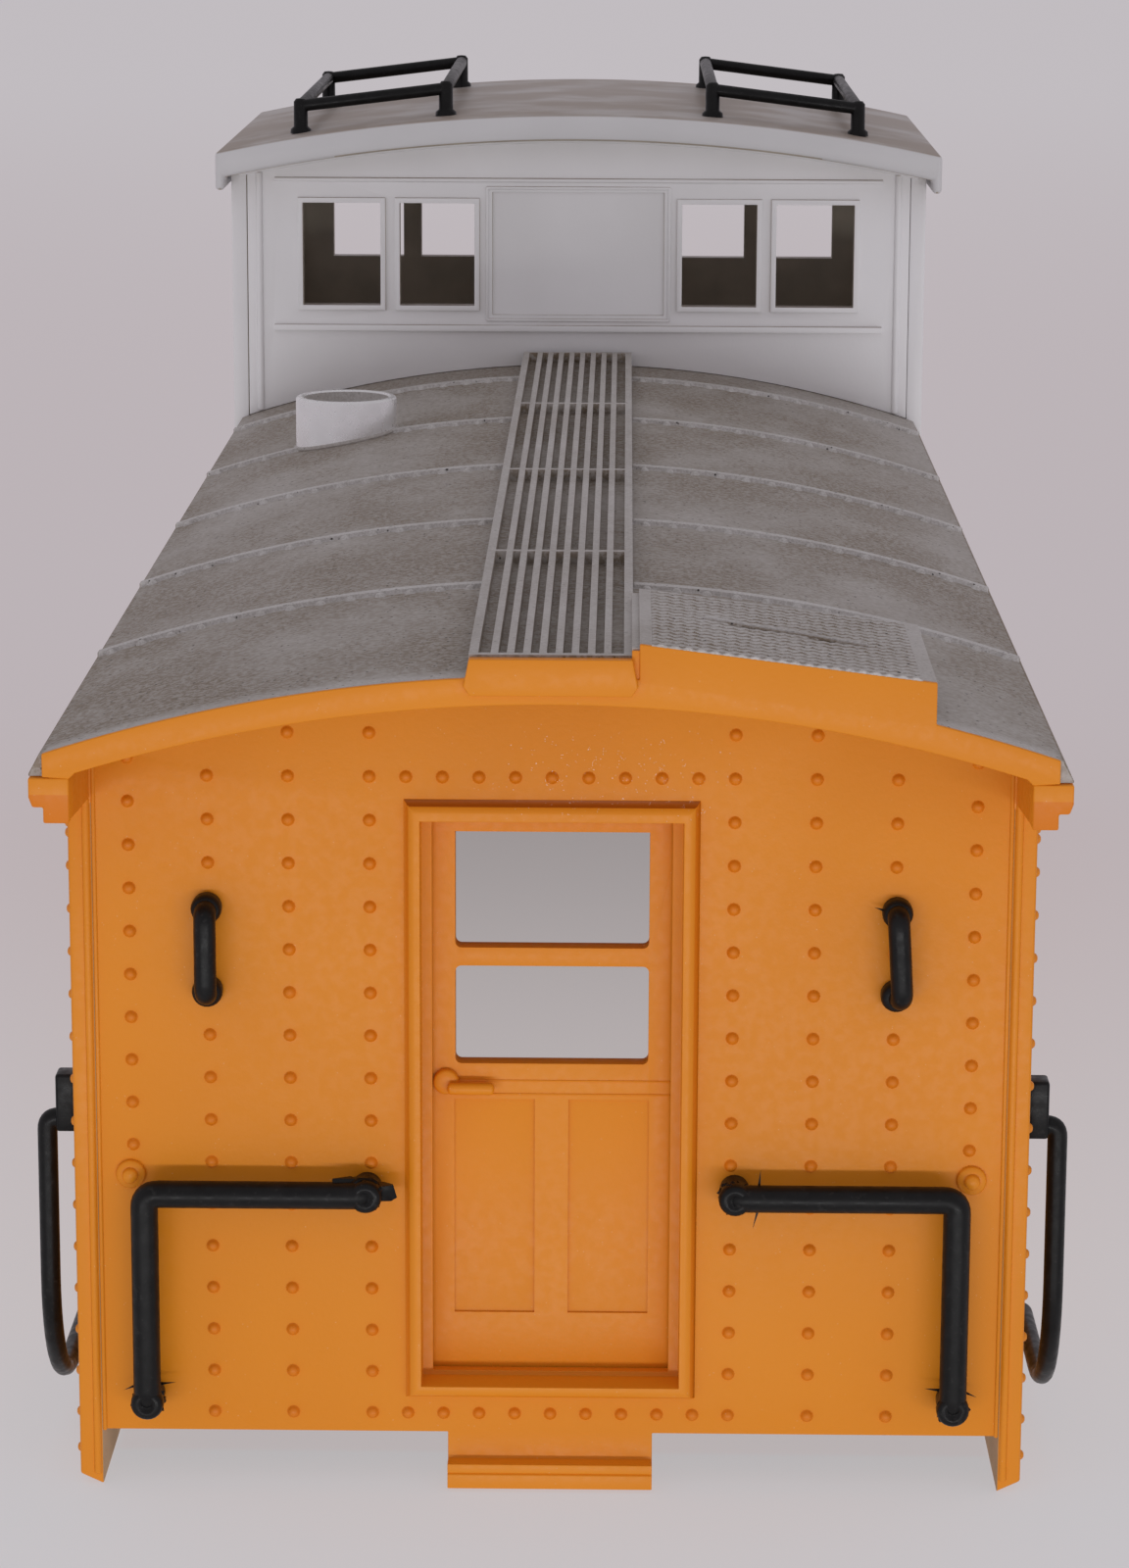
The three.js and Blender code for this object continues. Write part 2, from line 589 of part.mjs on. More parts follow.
const roofEnd = BODY_HALF_LENGTH + ROOF_OVERHANG;
for (const [hand, sign] of [['left', -1], ['right', 1]]) {
  caboose.add(
    eaveRail(`eave_rail_front_${hand}`, sign, -roofEnd - FASCIA_THICKNESS, CUPOLA_FRONT - GAP),
    eaveRail(`eave_rail_rear_${hand}`, sign, CUPOLA_REAR + GAP, roofEnd + FASCIA_THICKNESS),
    cupolaSide(`cupola_side_${hand}`, sign),
    cupolaRail(`cupola_rail_${hand}`, sign),
  );
}

caboose.add(
  meshOf('running_board_front', runningBoard(-roofEnd, CUPOLA_FRONT - 0.6), silver),
  meshOf('running_board_rear', runningBoard(CUPOLA_REAR + 0.6, roofEnd), silver),
  meshOf('smokejack', smokejack(), bright),
  meshOf('cupola_roof', cupolaRoof(), white),
);

const cupolaFrontWall = meshOf('cupola_wall_front', cupolaEnd(), white);
cupolaFrontWall.position.y = CUPOLA_FRONT;
const cupolaRearWall = meshOf('cupola_wall_rear', cupolaEnd(), white);
cupolaRearWall.position.y = CUPOLA_REAR;
cupolaRearWall.rotation.z = Math.PI;
caboose.add(cupolaFrontWall, cupolaRearWall);

export default caboose;
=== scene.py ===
"""Looks for the model caboose body: paint, rivets, treads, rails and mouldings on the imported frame."""

import json
import math
import random

import bmesh
import bpy
from mathutils import Matrix, Vector


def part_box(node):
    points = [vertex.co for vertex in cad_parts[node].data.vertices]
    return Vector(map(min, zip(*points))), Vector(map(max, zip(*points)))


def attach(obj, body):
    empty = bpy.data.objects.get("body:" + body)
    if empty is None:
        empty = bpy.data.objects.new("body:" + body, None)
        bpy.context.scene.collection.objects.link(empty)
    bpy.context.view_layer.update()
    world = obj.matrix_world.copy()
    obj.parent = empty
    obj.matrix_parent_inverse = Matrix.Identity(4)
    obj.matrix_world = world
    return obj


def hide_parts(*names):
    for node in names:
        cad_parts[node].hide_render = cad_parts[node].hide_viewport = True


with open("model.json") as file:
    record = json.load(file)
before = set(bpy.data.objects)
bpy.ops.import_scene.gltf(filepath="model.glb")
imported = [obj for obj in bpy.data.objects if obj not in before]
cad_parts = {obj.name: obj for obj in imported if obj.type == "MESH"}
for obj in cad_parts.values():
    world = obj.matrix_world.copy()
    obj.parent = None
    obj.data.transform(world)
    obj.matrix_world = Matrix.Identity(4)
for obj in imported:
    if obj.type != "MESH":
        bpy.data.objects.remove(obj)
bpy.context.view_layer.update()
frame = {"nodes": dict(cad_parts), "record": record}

# ---------------------------------------------------------------- dimensions, in metres

MM = 0.001
SIDE_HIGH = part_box("side_right")[1]
POST_PROUD = 0.25 * MM
WALL_SILL = 3.94  # bottom of an end wall, in millimetres
GUTTER_STEP = 50.2 * MM  # where the gutter moulding steps in
HALF_LENGTH = SIDE_HIGH.y - POST_PROUD  # to the outer face of an end wall
SIDE_FACE = 32.2 * MM
RIVET_TOP_ROW = 52.83 * MM
RIVET_PITCH = 2.97 * MM
RIVET_COLUMNS = (12.13 * MM, 17.54 * MM, 22.91 * MM)
RIVET_RADIUS = 0.39 * MM
RIVET_HEIGHT = 0.35 * MM
ROOF_RADIUS = 104.3 * MM
ROOF_CROWN = 58.2 * MM
ROOF_EDGE = 33.04 * MM
RIB_SPACING = 28.3 * MM
RIB_WIDTH = 1.0 * MM
BOARD_HALF = 5.29 * MM
BOARD_TOP = 59.55 * MM
TREAD_INNER = 5.7 * MM  # the treads beside the running board slope down from here
TREAD_WIDTH = 19.1 * MM
TREAD_HIGH, TREAD_LOW = 60.35 * MM, 57.95 * MM
PLATE_X = 6.5 * MM, 23.8 * MM  # the treadplate's extent, the length of its waves and its ridges' height
PLATE_Y = -7.42 * MM, 12.2 * MM
PLATE_WAVE = 0.86 * MM
PLATE_RIDGE = 0.10 * MM
FRAME_PROUD = 1.1 * MM  # the door frame, and its front's half width, bottom and top
FRAME_FRONT = 9.45 * MM, 6.9 * MM, 47.95 * MM
PANE_HALF = 6.53 * MM
JACK_X, JACK_Y = -20.5 * MM, 1.5 * MM
CUPOLA_LOW, CUPOLA_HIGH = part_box("cupola_side_right")
CUPOLA_RADIUS = 165 * MM
CUPOLA_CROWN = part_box("cupola_roof")[1].z
END_ROD = 0.93 * MM
SIDE_ROD = 0.68 * MM
SLIM_ROD = 0.6 * MM

ENDS = {
    "front": Matrix.Translation((0, -HALF_LENGTH, 0)),
    "rear": Matrix.Translation((0, HALF_LENGTH, 0)) @ Matrix.Rotation(math.pi, 4, "Z"),
}
HANDS = {"left": -1, "right": 1}
BODY_OF = {
    node: body
    for body, nodes in frame["record"]["behaviour"]["bodies"].items()
    for node in nodes
}

# ---------------------------------------------------------------- material tools


class Nodes:
    """A material's node tree, with short calls for the nodes that the paints share."""

    def __init__(self, name):
        self.material = bpy.data.materials.new(name)
        self.material.use_nodes = True
        self.tree = self.material.node_tree
        self.shader = self.tree.nodes["Principled BSDF"]
        self.coords = self.tree.nodes.new("ShaderNodeTexCoord").outputs["Object"]

    def link(self, source, target):
        self.tree.links.new(source, target)
        return source

    def noise(self, scale, detail=2.0, roughness=0.5, stretch=None):
        node = self.tree.nodes.new("ShaderNodeTexNoise")
        node.inputs["Scale"].default_value = scale
        node.inputs["Detail"].default_value = detail
        node.inputs["Roughness"].default_value = roughness
        self.link(self.stretched(stretch) if stretch else self.coords, node.inputs["Vector"])
        return node.outputs["Fac"]

    def stretched(self, factors):
        node = self.tree.nodes.new("ShaderNodeMapping")
        node.inputs["Scale"].default_value = factors
        self.link(self.coords, node.inputs["Vector"])
        return node.outputs["Vector"]

    def cells(self, scale):
        node = self.tree.nodes.new("ShaderNodeTexVoronoi")
        node.inputs["Scale"].default_value = scale
        self.link(self.coords, node.inputs["Vector"])
        return node.outputs["Distance"]

    def ramp(self, value, *stops):
        node = self.tree.nodes.new("ShaderNodeValToRGB")
        ramp = node.color_ramp
        while len(ramp.elements) < len(stops):
            ramp.elements.new(0.5)
        for element, (place, colour) in zip(ramp.elements, stops):
            element.position = place
            element.color = (*colour, 1) if len(colour) == 3 else colour
        self.link(value, node.inputs["Fac"])
        return node.outputs["Color"]

    def step(self, value, low, high, start=0.0, end=1.0):
        node = self.tree.nodes.new("ShaderNodeMapRange")
        node.interpolation_type = "SMOOTHSTEP"
        for socket, number in zip(("From Min", "From Max", "To Min", "To Max"), (low, high, start, end)):
            node.inputs[socket].default_value = number
        self.link(value, node.inputs["Value"])
        return node.outputs["Result"]

    def math(self, operation, a, b=None):
        node = self.tree.nodes.new("ShaderNodeMath")
        node.operation = operation
        for socket, value in zip(node.inputs, (a, b)):
            if value is None:
                continue
            if isinstance(value, (int, float)):
                socket.default_value = value
            else:
                self.link(value, socket)
        return node.outputs["Value"]

    def mix(self, factor, a, b, blend="MIX"):
        node = self.tree.nodes.new("ShaderNodeMix")
        node.data_type = "RGBA"
        node.blend_type = blend
        for socket, value in ((0, factor), (6, a), (7, b)):
            if isinstance(value, (int, float)):
                node.inputs[socket].default_value = value
            elif isinstance(value, tuple):
                node.inputs[socket].default_value = (*value, 1)
            else:
                self.link(value, node.inputs[socket])
        return node.outputs[2]

    def place(self):
        node = self.tree.nodes.new("ShaderNodeSeparateXYZ")
        self.link(self.coords, node.inputs["Vector"])
        return node.outputs

    def upward(self):
        """How far the surface looks up, from -1 to 1."""
        geometry = self.tree.nodes.new("ShaderNodeNewGeometry")
        node = self.tree.nodes.new("ShaderNodeSeparateXYZ")
        self.link(geometry.outputs["Normal"], node.inputs["Vector"])
        return node.outputs["Z"]

    def bump(self, *layers):
        """Layers of (height, strength, distance), one over the other."""
        normal = None
        for height, strength, distance in layers:
            node = self.tree.nodes.new("ShaderNodeBump")
            node.inputs["Strength"].default_value = strength
            node.inputs["Distance"].default_value = distance
            self.link(height, node.inputs["Height"])
            if normal:
                self.link(normal, node.inputs["Normal"])
            normal = node.outputs["Normal"]
        self.link(normal, self.shader.inputs["Normal"])

    def finish(self, colour, roughness, metallic=0.0, specular=0.5):
        if isinstance(colour, tuple):
            self.shader.inputs["Base Color"].default_value = (*colour, 1)
        else:
            self.link(colour, self.shader.inputs["Base Color"])
        if isinstance(roughness, float):
            self.shader.inputs["Roughness"].default_value = roughness
        else:
            self.link(roughness, self.shader.inputs["Roughness"])
        self.shader.inputs["Metallic"].default_value = metallic
        self.shader.inputs["Specular IOR Level"].default_value = specular
        return self.material


def yellow_paint(name, low, high):
    """Satin yellow between two shades, with orange peel, dust grains and a patch of grit."""
    n = Nodes(name)
    colour = n.ramp(n.noise(60, 2), (0.3, low), (0.7, high))
    # Fine pale grains of dust in the paint.
    chance = n.step(n.noise(700, 1), 0.55, 0.62)
    grain = n.math("MULTIPLY", n.step(n.cells(2400), 0.13, 0.05), chance)
    colour = n.mix(n.math("MULTIPLY", grain, 0.35), colour, (0.85, 0.60, 0.35))
    # Pale grit on the wall above the front door, thickest a little to its right.
    x, y, z = n.place()
    across = n.step(n.math("ABSOLUTE", n.math("ADD", x, -4.5 * MM)), 11.5 * MM, 2 * MM)
    up = n.step(n.math("ABSOLUTE", n.math("ADD", z, -50 * MM)), 4.2 * MM, MM)
    front = n.math("MULTIPLY", n.step(y, -107 * MM, -108 * MM), n.step(y, -112.5 * MM, -111.8 * MM))
    spread = n.math("MULTIPLY", n.math("MULTIPLY", across, up), front)
    chance = n.step(n.math("ADD", n.noise(1900, 2), n.math("MULTIPLY", spread, 0.12)), 0.685, 0.71)
    grit = n.math("MULTIPLY", n.step(n.cells(7800), 0.22, 0.14), chance)
    colour = n.mix(n.math("MULTIPLY", grit, n.step(spread, 0.02, 0.2)), colour, (0.95, 0.90, 0.82))
    n.bump((n.noise(420, 2), 0.12, 0.08 * MM), (n.noise(3000, 2, 0.55), 0.34, 0.03 * MM))
    rough = n.step(n.noise(1500, 2), 0.3, 0.7, 0.38, 0.5)
    return n.finish(colour, rough, specular=0.3)


def bare_inside():
    """The unpainted inner faces, with overspray on them."""
    n = Nodes("bare_inside")
    colour = n.ramp(n.noise(160, 4), (0.35, (0.40, 0.255, 0.130)), (0.65, (0.52, 0.335, 0.175)))
    n.bump((n.noise(2500, 2), 0.3, 0.03 * MM))
    return n.finish(colour, 0.6)


def dark_inside():
    """The drab inner faces of the cupola."""
    n = Nodes("dark_inside")
    colour = n.ramp(n.noise(200, 3), (0.35, (0.40, 0.355, 0.29)), (0.65, (0.50, 0.44, 0.36)))
    n.bump((n.noise(2500, 2), 0.3, 0.03 * MM))
    return n.finish(colour, 0.6)


def silver_paint(name, dust, ribbed=False):
    """Silver paint under a share of brown dust and grit; if ribbed, with less dust on the ribs and end
    edges, which also paints the highlight along them.
    """
    n = Nodes(name)
    speckle = n.noise(5200, 2, 0.7)
    silver = n.ramp(n.noise(140, 4, 0.6), (0.3, (0.50, 0.475, 0.455)), (0.7, (0.60, 0.58, 0.565)))
    sparkle = n.ramp(speckle, (0.36, (0.3, 0.3, 0.3)), (0.64, (0.72, 0.72, 0.72)))
    silver = n.mix(0.45, silver, sparkle, "OVERLAY")
    x, y, z = n.place()
    amount = n.step(n.noise(85, 4, 0.6, (1, 0.55, 1)), 0.30, 0.62, 0.55 * dust, dust)
    grains = n.step(n.noise(2600, 3, 0.75), 0.42, 0.58, 0.55, 1.0)
    amount = n.math("MULTIPLY", amount, grains)
    if ribbed:
        # Painted highlight, partly real wear: the ribs and the roof's end edges lose most of their dust and
        # come out lighter.
        phase = n.math("FRACT", n.math("ADD", n.math("DIVIDE", y, RIB_SPACING), 10.5))
        from_rib = n.math("MULTIPLY", n.math("ABSOLUTE", n.math("SUBTRACT", phase, 0.5)), RIB_SPACING)
        first, last = -89 * MM, 33 * MM
        on_ribs = n.math("MULTIPLY", n.step(y, first - MM, first + MM), n.step(y, last + MM, last - MM))
        wiped_and_lit = n.math("MULTIPLY", n.step(from_rib, RIB_WIDTH * 0.9, RIB_WIDTH * 0.55, 0.0, 0.95), on_ribs)
        edge = n.step(n.math("ABSOLUTE", y), HALF_LENGTH + 4.4 * MM, HALF_LENGTH + 7.0 * MM, 0.0, 0.7)
        inboard = n.step(n.math("ABSOLUTE", x), ROOF_EDGE, ROOF_EDGE - 0.6 * MM)
        wiped_and_lit = n.math("MAXIMUM", wiped_and_lit, n.math("MULTIPLY", edge, inboard))
        amount = n.math("MULTIPLY", amount, n.math("SUBTRACT", 1.0, wiped_and_lit))
    colour = n.mix(amount, silver, (0.205, 0.155, 0.105))
    for scale, size, low, high in ((1700, 0.22, 0.50, 0.54), (700, 0.13, 0.55, 0.59)):
        chance = n.step(n.noise(scale * 0.8, 1), low, high)
        spot = n.math("MULTIPLY", n.step(n.cells(scale), size, size * 0.4), chance)
        colour = n.mix(n.math("MULTIPLY", spot, min(1.0, dust * 1.3)), colour, (0.030, 0.022, 0.017))
    n.bump((n.noise(450, 3), 0.2, 0.1 * MM), (speckle, 0.4, 0.035 * MM))
    rough = n.step(speckle, 0.3, 0.7, 0.5, 0.66)
    return n.finish(colour, rough, metallic=0.1, specular=0.35)


def white_paint(name, level):
    """White at a brightness, under brown dust where it faces up."""
    n = Nodes(name)
    low, high = level - 0.03, level + 0.03
    dim, lit = (low, low - 0.005, low), (high, high - 0.005, high + 0.005)
    colour = n.ramp(n.noise(70, 3), (0.3, dim), (0.7, lit))
    dust = n.math("MULTIPLY", n.step(n.upward(), 0.4, 0.9), n.step(n.noise(110, 4), 0.3, 0.6, 0.55, 1.0))
    colour = n.mix(dust, colour, (0.33, 0.27, 0.225))
    n.bump((n.noise(420, 2), 0.22, 0.12 * MM), (n.noise(3400, 2), 0.28, 0.03 * MM))
    return n.finish(colour, 0.45)


def black_plastic():
    n = Nodes("black_plastic")
    colour = n.ramp(n.noise(900, 3), (0.3, (0.0035, 0.0034, 0.0034)), (0.7, (0.0075, 0.0073, 0.0075)))
    # Dust that clings to the moulding as faint grey lint.
    lint = n.math("MULTIPLY", n.step(n.noise(2200, 3, 0.6), 0.60, 0.70), 0.12)
    colour = n.mix(lint, colour, (0.08, 0.078, 0.076))
    n.bump((n.noise(1100, 2), 0.25, 0.06 * MM), (n.noise(5200, 2), 0.3, 0.02 * MM))
    rough = n.step(n.noise(1400, 2), 0.3, 0.7, 0.3, 0.46)
    return n.finish(colour, rough, specular=0.2)


def bright_silver():
    n = Nodes("bright_silver")
    colour = n.ramp(n.noise(260, 3), (0.3, (0.80, 0.795, 0.795)), (0.7, (0.88, 0.875, 0.88)))
    n.bump((n.noise(2800, 2), 0.06, 0.02 * MM))
    rough = n.step(n.noise(900, 2), 0.3, 0.7, 0.24, 0.34)
    return n.finish(colour, rough, metallic=0.55)


def steel_wire():
    n = Nodes("steel_wire")
    colour = n.ramp(n.noise(800, 2, 0.5, (1, 1, 0.1)), (0.3, (0.42, 0.42, 0.43)), (0.7, (0.58, 0.58, 0.60)))
    n.bump((n.noise(3000, 2, 0.5, (1, 1, 0.1)), 0.3, 0.01 * MM))
    return n.finish(colour, 0.3, metallic=1.0)


YELLOW = yellow_paint("yellow_paint", (0.735, 0.241, 0.009), (0.775, 0.262, 0.011))
# Painted shade: a deeper yellow for the end rivets, the door frames' side and bottom flanks and the
# gutters' ends below their step.
SHADED_YELLOW = yellow_paint("yellow_painted_shade", (0.690, 0.188, 0.005), (0.730, 0.205, 0.006))
# Painted shade: a dark yellow for the top slope of each door frame.
CREASE_SHADE = yellow_paint("yellow_crease_shade", (0.370, 0.080, 0.001), (0.410, 0.092, 0.002))
INSIDE = bare_inside()
DARK = dark_inside()
SILVER = silver_paint("silver_paint", 0.35)
ROOFING = silver_paint("silver_roof", 0.9, ribbed=True)
# Silver with little dust for the roof rivets and the tread seam: less dust on these raised marks, and a
# painted highlight on them.
CLEAN_AND_LIT = silver_paint("silver_clean_and_lit", 0.08)
TREAD = silver_paint("silver_tread", 0.2)
# Dusty silver for the running boards' slots, the treadplates' valleys and the line at the tread seam's
# foot: dirt in the hollows, and painted shade in them and along the seam.
DIRT_AND_SHADE = silver_paint("silver_dirt_and_shade", 1.0)
SOILED = silver_paint("silver_soiled", 1.6)
WHITE = white_paint("white_paint", 0.83)
DULL = white_paint("white_dull", 0.64)
BLACK = black_plastic()
BRIGHT = bright_silver()
STEEL = steel_wire()

# ---------------------------------------------------------------- mesh tools


def mesh_of(bm, name):
    mesh = bpy.data.meshes.new(name)
    bm.to_mesh(mesh)
    bm.free()
    return mesh


def add_piece(name, bm, material, body, *nodes, sharp=35):
    """Turns a bmesh into a piece that rides on a body and stands for the CAD nodes named."""
    return add_mesh(name, mesh_of(bm, name), [material], body, *nodes, sharp=sharp)


def add_mesh(name, mesh, materials, body, *nodes, sharp=35):
    mesh.polygons.foreach_set("use_smooth", [True] * len(mesh.polygons))
    mesh.set_sharp_from_angle(angle=math.radians(sharp))
    for material in materials:
        mesh.materials.append(material)
    piece = bpy.data.objects.new(name, mesh)
    bpy.context.scene.collection.objects.link(piece)
    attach(piece, body)
    if nodes:
        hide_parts(*nodes)
    return piece


def cad_solid(node, tidy=0.4):
    """A CAD node's solid as a bmesh, with its flat faces made whole."""
    bm = bmesh.new()
    bm.from_mesh(frame["nodes"][node].data)
    bmesh.ops.remove_doubles(bm, verts=bm.verts, dist=0.002 * MM)
    bmesh.ops.dissolve_limit(bm, angle_limit=math.radians(tidy), verts=bm.verts, edges=bm.edges)
    return bm


def eased(bm, width, segments=2, angle=30):
    """Rounds the sharp edges, as the mould and the paint leave them."""
    mesh = mesh_of(bm, "eased")
    holder = bpy.data.objects.new("eased", mesh)
    bpy.context.scene.collection.objects.link(holder)
    bevel = holder.modifiers.new("bevel", "BEVEL")
    bevel.width = width
    bevel.segments = segments
    bevel.limit_method = "ANGLE"
    bevel.angle_limit = math.radians(angle)
    bevel.use_clamp_overlap = True
    bpy.context.view_layer.update()
    graph = bpy.context.evaluated_depsgraph_get()
    result = bmesh.new()
    result.from_mesh(holder.evaluated_get(graph).to_mesh())
    bpy.data.objects.remove(holder)
    bpy.data.meshes.remove(mesh)
    return result


def coated(node, material, width=0.12 * MM, segments=2, inner=None, looks_in=None, slice_at=None):
    """A CAD node with eased edges. Faces for which looks_in is true take the inner material."""
    bm = eased(cad_solid(node), width, segments)
    if slice_at:
        bmesh.ops.bisect_plane(bm, geom=bm.verts[:] + bm.edges[:] + bm.faces[:], dist=1e-7,
                               plane_co=(0, 0, slice_at), plane_no=(0, 0, 1))
    coated_mesh(bm, node, material, inner, looks_in)


def coated_mesh(bm, node, material, inner=None, looks_in=None):
    if looks_in:
        for face in bm.faces:
            face.material_index = 1 if looks_in(face) else 0
    materials = [material, inner] if looks_in else [material]
    add_mesh(f"{node}_moulding", mesh_of(bm, node), materials, BODY_OF[node], node)


def block(bm, x0, x1, y0, y1, z0, z1):
    size = Matrix.Diagonal((x1 - x0, y1 - y0, z1 - z0, 1))
    centre = Matrix.Translation(((x0 + x1) / 2, (y0 + y1) / 2, (z0 + z1) / 2))
    bmesh.ops.create_cube(bm, size=1, matrix=centre @ size)


def rounded(corners, radius, steps=7):
    """Corner points with each bend rounded."""
    points = [corners[0]]
    for before, corner, after in zip(corners, corners[1:], corners[2:]):
        start = corner + (before - corner).normalized() * radius
        end = corner + (after - corner).normalized() * radius
        for i in range(steps + 1):
            t = i / steps
            points.append(start * (1 - t) ** 2 + corner * (2 * t * (1 - t)) + end * t**2)
    points.append(corners[-1])
    return points


def tube(bm, points, radius, sides=18, domed=(True, True)):
    """A round bar along the points, with domed or flat ends."""
    tangents = []
    for i in range(len(points)):
        ahead, behind = points[min(i + 1, len(points) - 1)], points[max(i - 1, 0)]
        tangents.append((ahead - behind).normalized())
    side = tangents[0].orthogonal().normalized()
    stations = []
    for point, tangent in zip(points, tangents):
        side = (side - tangent * side.dot(tangent)).normalized()
        stations.append((point, tangent, side.copy(), 1.0))

    def cap(station, sign):
        point, tangent, side, _ = station
        rings = []
        for k in (1, 2, 3):
            angle = math.pi / 2 * k / 3.4
            middle = point + tangent * (sign * 0.6 * radius * math.sin(angle))
            rings.append((middle, tangent, side, math.cos(angle)))
        return rings

    if domed[0]:
        stations = cap(stations[0], -1)[::-1] + stations
    if domed[1]:
        stations = stations + cap(stations[-1], 1)
    rings = []
    for point, tangent, side, share in stations:
        other = tangent.cross(side)
        rings.append([
            bm.verts.new(point + (side * math.cos(a) + other * math.sin(a)) * radius * share)
            for a in (2 * math.pi * j / sides for j in range(sides))
        ])
    for ring, following in zip(rings, rings[1:]):
        for j in range(sides):
            k = (j + 1) % sides
            bm.faces.new((ring[j], ring[k], following[k], following[j]))
    bm.faces.new(rings[0][::-1])
    bm.faces.new(rings[-1])


def lathe(bm, profile, matrix, sides=20):
    """Turns a profile of (radius, height) points about the matrix's Z axis; ends on the axis close."""
    rings = []
    for radius, height in profile:
        if radius < 1e-9:
            rings.append([bm.verts.new(matrix @ Vector((0, 0, height)))])
        else:
            rings.append([
                bm.verts.new(matrix @ Vector((radius * math.cos(a), radius * math.sin(a), height)))
                for a in (2 * math.pi * j / sides for j in range(sides))
            ])
    for ring, following in zip(rings, rings[1:]):
        for j in range(sides):
            k = (j + 1) % sides
            corners = [ring[j % len(ring)], ring[k % len(ring)],
                       following[k % len(following)], following[j % len(following)]]
            corners = [c for i, c in enumerate(corners) if c not in corners[:i]]
            if len(corners) > 2:
                bm.faces.new(corners)


def facing(place, normal):
    """A matrix whose Z axis is the normal, at the place."""
    turn = Vector((0, 0, 1)).rotation_difference(Vector(normal))
    return Matrix.Translation(place) @ turn.to_matrix().to_4x4()


def rivet(bm, place, normal, radius=RIVET_RADIUS, height=RIVET_HEIGHT, sides=12):
    """A domed head whose foot runs out into the paint."""
    sunk = 0.05 * MM
    profile = [(0, -sunk), (1.18 * radius, -sunk), (1.18 * radius, 0.0), (1.04 * radius, 0.10 * height),
               (0.92 * radius, 0.42 * height), (0.68 * radius, 0.78 * height),
               (0.36 * radius, 0.97 * height), (0, height)]
    lathe(bm, profile, facing(place, normal), sides)


def at(x, y, z):
    """A point given in millimetres."""
    return Vector((x, y, z)) * MM


def arch(x, radius, crown):
    return crown - radius + math.sqrt(radius**2 - x**2)


# ---------------------------------------------------------------- body walls


def inward_y(face):
    """True for a flat face on the inner side of an end wall."""
    centre = face.calc_center_median()
    return abs(face.normal.y) > 0.9 and face.normal.y * centre.y < 0


def inward_x(face):
    centre = face.calc_center_median()
    return abs(face.normal.x) > 0.9 and face.normal.x * centre.x < 0


def end_rivets(place):
    """Rows of rivets, and the round pad above each handrail's corner."""
    bm = bmesh.new()
    outward = (0, -1, 0)

    def row_height(k):
        return RIVET_TOP_ROW - k * RIVET_PITCH

    for sign in (-1, 1):
        for column, x in enumerate(RIVET_COLUMNS):
            for k in range(17):
                behind_grab = column == 2 and k in (4, 6)
                if not behind_grab:
                    rivet(bm, Vector((sign * x, 0, row_height(k))), outward)
        for n in range(10):
            rivet(bm, Vector((sign * 28.19 * MM, 0, row_height(0.6 + n))), outward)
    for k in (1, 16):
        for i in range(-4, 5):
            rivet(bm, Vector((i * 2.426 * MM, 0, row_height(k))), outward)
    pads = bmesh.new()
    for sign in (-1, 1):
        spot = facing(at(sign * 28.4, 0, 22.25), outward)
        pad = [(0, -0.05), (1.0, -0.05), (1.0, 0.22), (0.9, 0.36), (0.55, 0.42),
               (0.5, 0.75), (0.38, 0.9), (0, 0.95)]
        lathe(pads, [(r * MM, h * MM) for r, h in pad], spot, 20)
    # The rivets take the deeper yellow: painted shade that makes their heads darker than the wall.
    for name, made, paint in (("rivets", bm, SHADED_YELLOW), ("pads", pads, YELLOW)):
        made.transform(ENDS[place])
        add_piece(f"end_{name}_{place}", made, paint, "shell", sharp=50)


def wedge(bm, sign):
    """The gutter's inner flank, which slants in to the corner post."""
    plan = [(31.2, -7.15), (30.7, -0.1), (31.2, 0.2)]
    low = [bm.verts.new(at(sign * x, y, 48.35)) for x, y in plan]
    high = [bm.verts.new(at(sign * x, y, 51.45)) for x, y in plan]
    faces = [bm.faces.new(low), bm.faces.new(high[::-1])]
    for i in range(3):
        j = (i + 1) % 3
        faces.append(bm.faces.new((low[j], low[i], high[i], high[j])))
    bmesh.ops.recalc_face_normals(bm, faces=faces)


def eave_joint(place):
    """Fills the joint between the roof's lip and the gutter."""
    bm = bmesh.new()
    for sign in (-1, 1):
        x0, x1 = sorted((sign * 31.3 * MM, sign * 33.62 * MM))
        block(bm, x0, x1, -7.22 * MM, 60 * MM, 51.15 * MM, 51.55 * MM)
    bm.transform(ENDS[place])
    add_piece(f"eave_joint_{place}", bm, YELLOW, "shell")


def post_beads(place):
    """The bead down the inner edge of each corner post, and the fillets that close the corner's joints."""
    bm = bmesh.new()
    for sign in (-1, 1):
        tube(bm, [at(sign * 30.98, -0.2, 0.9), at(sign * 30.98, -0.2, 51.2)], 0.27 * MM, 12)
        tube(bm, [at(sign * 30.5, 0.02, WALL_SILL), at(sign * 30.5, 0.02, 51.2)], 0.17 * MM, 10)
        x0, x1 = sorted((sign * 30.6 * MM, sign * 31.1 * MM))
        block(bm, x0, x1, -0.24 * MM, 0.3 * MM, 48 * MM, 51.4 * MM)
        wedge(bm, sign)
    bm.transform(ENDS[place])
    add_piece(f"post_beads_{place}", bm, YELLOW, "shell")


